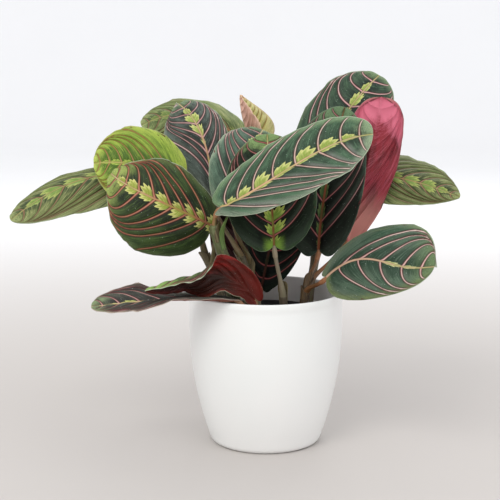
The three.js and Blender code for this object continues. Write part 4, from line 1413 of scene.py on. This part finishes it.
def stalk_controls(shoot, name, share):
    leaf = LEAVES[name]
    start, stem_way = bezier(stem_controls(shoot), share)
    base, way = bezier(midrib_controls(leaf), 0.0)
    _, normal, _, _ = blade_surface(leaf, np.array([[0.0]]), np.array([[0.0]]))
    end = base - way * 0.2 - normal[0, 0] * (BLADE_THICKNESS + 0.5) / 2
    reach = np.linalg.norm(end - start)
    arrive = np.array(leaf.get("arrive", way), float)
    arrive = arrive / np.linalg.norm(arrive)
    return start, start + stem_way * STALK_LEAVE * reach, end - arrive * STALK_ARRIVE * reach, end


def stalk_tube(shoot, name, share):
    """A leaf's stalk: a clasping sheath with an open seam, a slender stalk, and the joint."""
    controls = stalk_controls(shoot, name, share)
    centres, _ = bezier(controls, np.linspace(0, 1, STALK_STEPS))
    length = curve_length(controls)
    left = length - run_along(centres)
    clasp = smooth(left / length, 1 - SHEATH_SHARE, 1)
    joint = smooth(left, JOINT_LENGTH + 1.5, JOINT_LENGTH - 1.5)
    plain = STALK_RADIUS + (SHEATH_RADIUS - STALK_RADIUS) * clasp
    plain = plain + (JOINT_RADIUS - plain) * joint
    taper = smooth(left, 0, 3.5) * 0.45 + 0.55
    ribs = 1 + ribbed(STALK_RIBS) * (1 - joint)[:, None]
    seam = 1 - 0.3 * clasp[:, None] * np.maximum(np.cos(tube_angles - 1.2), 0)[None] ** 6
    points, faces, skin = tube(centres, (plain * taper)[:, None] * ribs * seam)
    return points, faces, skin, 1 + np.concatenate([np.repeat(joint, TUBE_SIDES), [0, 1]])


print("a stalk's joint is", JOINT_LENGTH, "mm long")

# %% [markdown]
# ## Old sheaths
# Where a stalk leaves the stem, the edge of its sheath stands free as a thin pointed flap, green at
# first and dry and brown later. A flap is a strip wrapped part of the way round the stem. It narrows
# to its point and leans outwards there. The front stem also has one broad green wing, made the same way.

# %% Sheath flaps
FLAP_ROWS = 26
FLAP_COLUMNS = 14
FLAP_THICK = 0.35
FLAP_GAP = 0.35


def flap(centre, way, radius, length, facing, spread=2.0, lean=0.25, kind=3.0):
    """A pointed shell round the line through centre. facing is the angle of its middle."""
    way = way / np.linalg.norm(way)
    across = np.array([1.0, 0, 0]) - way[0] * way
    across /= np.linalg.norm(across)
    other = np.cross(way, across)
    rows, columns = np.linspace(0, 1, FLAP_ROWS), np.linspace(-1, 1, FLAP_COLUMNS)
    share, column = np.meshgrid(rows, columns, indexing="ij")
    angle = facing + (spread * np.sqrt(1 - share ** 1.6) + 0.03) * column
    reach = radius + FLAP_GAP + lean * length * share ** 2.2 * 0.4
    ray = np.cos(angle)[..., None] * across + np.sin(angle)[..., None] * other
    outer = centre + way * (length * share)[..., None] + ray * reach[..., None]
    points = np.concatenate([skin.reshape(-1, 3) for skin in (outer, outer - ray * FLAP_THICK)])
    skin = np.stack([np.cos(angle), np.sin(angle), length * share], -1).reshape(-1, 3)
    faces, _ = two_skins(np.arange(share.size).reshape(share.shape), share.size)
    return points, faces, np.tile(skin, (2, 1)), np.full(len(points), kind)


print("a flap has", 2 * FLAP_ROWS * FLAP_COLUMNS, "points")

# %% [markdown]
# ## The stalks' finish
# Fresh stalks are greenish orange-brown with fine lengthwise lines, the joint is smoother and paler,
# old sheaths are olive brown and streaked, and the broad wing is green. They could be four materials,
# but a hard line would show between two of them. One finish tells them apart by a mark on the mesh.

# %% Stalk finish
STALK_GRAIN = 0.0002


def stalk_finish(name, look, seed):
    finish = Finish(name, Specular_IOR_Level=0.4)
    kind, run, _ = finish.reads("stalk_kind")
    x, y, _ = finish.reads("stalk_skin")
    lines = finish.noise(finish.vector(x * 5, y * 5, run * 0.02 + seed), scale=1.6, detail=4, rough=0.65)
    patches = finish.noise(finish.vector(x * 0.8, y * 0.8, run * 0.07 + seed), detail=3)
    grain = finish.noise(finish.place(), scale=1500, detail=2)
    streaks = lines.step(0.35, 0.65)
    finish.colour = finish.layer(streaks, look["stem_dark"], look["stem"])
    finish.coat(patches.step(0.45, 0.75) * 0.6, look["stem_green"])
    stalk = finish.layer(patches.step(0.3, 0.7), look["stalk"], look["stalk_green"])
    stalk = finish.layer(lines.step(0.5, 0.8) * 0.4, stalk, look["stalk_light"])
    finish.coat(kind.step(0.3, 0.7), stalk)
    joint = finish.layer(lines.step(0.4, 0.7), look["joint"], look["stalk_light"])
    finish.coat(kind.step(1.3, 1.8), joint)
    finish.coat(kind.step(2.4, 2.6), finish.layer(streaks, look["flap_dark"], look["flap"]))
    finish.coat(kind.step(3.4, 3.6), finish.layer(streaks, look["wing_dark"], look["wing"]))
    return finish.paint(lines * 0.2 + 0.36, lines + grain * 0.4, STALK_GRAIN)


STALK_LOOK = dict(
    stem="6b6048", stem_dark="3c3426", stem_green="5e5c3c",
    stalk="7c6446", stalk_green="66623f", stalk_light="a08a68", joint="96684a",
    flap="7f7352", flap_dark="4c412c", wing="7a934c", wing_dark="465f30",
)
STALK_LOOKS = {
    "front": STALK_LOOK | dict(
        stalk="7b6f5c", stalk_green="6f6a50", stalk_light="9a8f7a", joint="84755c", stem="5f5446"),
    "front_left": STALK_LOOK | dict(
        stem="6f7250", stem_dark="3b3826", stem_green="66743f", stalk="9a6c44", stalk_light="b08a60"),
    "right": STALK_LOOK | dict(
        stem="5a4630", stem_dark="2a1f12", stem_green="50482a", stalk="8c5c38", stalk_green="6a4c2e",
        stalk_light="a8744e", joint="9c6a48", flap="6b5334", flap_dark="2f2416"),
}
print("the stalk finish is ready")

# %% [markdown]
# ## Grow the shoots
# A shoot becomes one mesh: its stem, and for each leaf a stalk and the flap beside it. They could be
# pieces of their own, but the frame has one node for each shoot, because it grew as one.

# %% Shoots
FLAP_LENGTHS = (15.0, 11.0, 13.0)
FLAP_BELOW = 0.12


def shoot_parts(shoot, order):
    """The stem, and for each leaf its stalk and the flap beside it. Flaps face all ways in turn."""
    low, high = shoot.get("radii", STEM_RADII)
    yield stem_tube(shoot)
    for number, (leaf_name, share) in enumerate(shoot["leaves"].items()):
        yield stalk_tube(shoot, leaf_name, share)
        centre, way = bezier(stem_controls(shoot), max(share - FLAP_BELOW, 0.0))
        facing = 2.4 * number + 1.3 * order
        yield flap(centre, way, low + (high - low) * share, FLAP_LENGTHS[number % 3], facing)
    if "wing" in shoot:
        centre, way = bezier(stem_controls(shoot), WING_SHARE)
        yield flap(centre, way, high, kind=4.0, **shoot["wing"])


for order, (name, shoot) in enumerate(SHOOTS.items()):
    points, faces, skins, kinds = [], [], [], []
    start = 0
    for part_points, part_faces, skin, kind in shoot_parts(shoot, order):
        points.append(part_points)
        faces.extend([tuple(start + corner for corner in face) for face in part_faces])
        skins.append(skin)
        kinds.append(np.stack([kind, skin[:, 2], np.zeros(len(kind))], 1))
        start += len(part_points)
    marks = {"stalk_skin": np.concatenate(skins), "stalk_kind": np.concatenate(kinds)}
    finishes = [stalk_finish("stalk_" + name, STALK_LOOKS.get(name, STALK_LOOK), 5.3 * order)]
    points = np.concatenate(points)
    make_piece("stalks_" + name, points, faces, finishes, "stalks", "shoot_" + name, marks=marks)
    print(name, "has", len(faces), "faces")
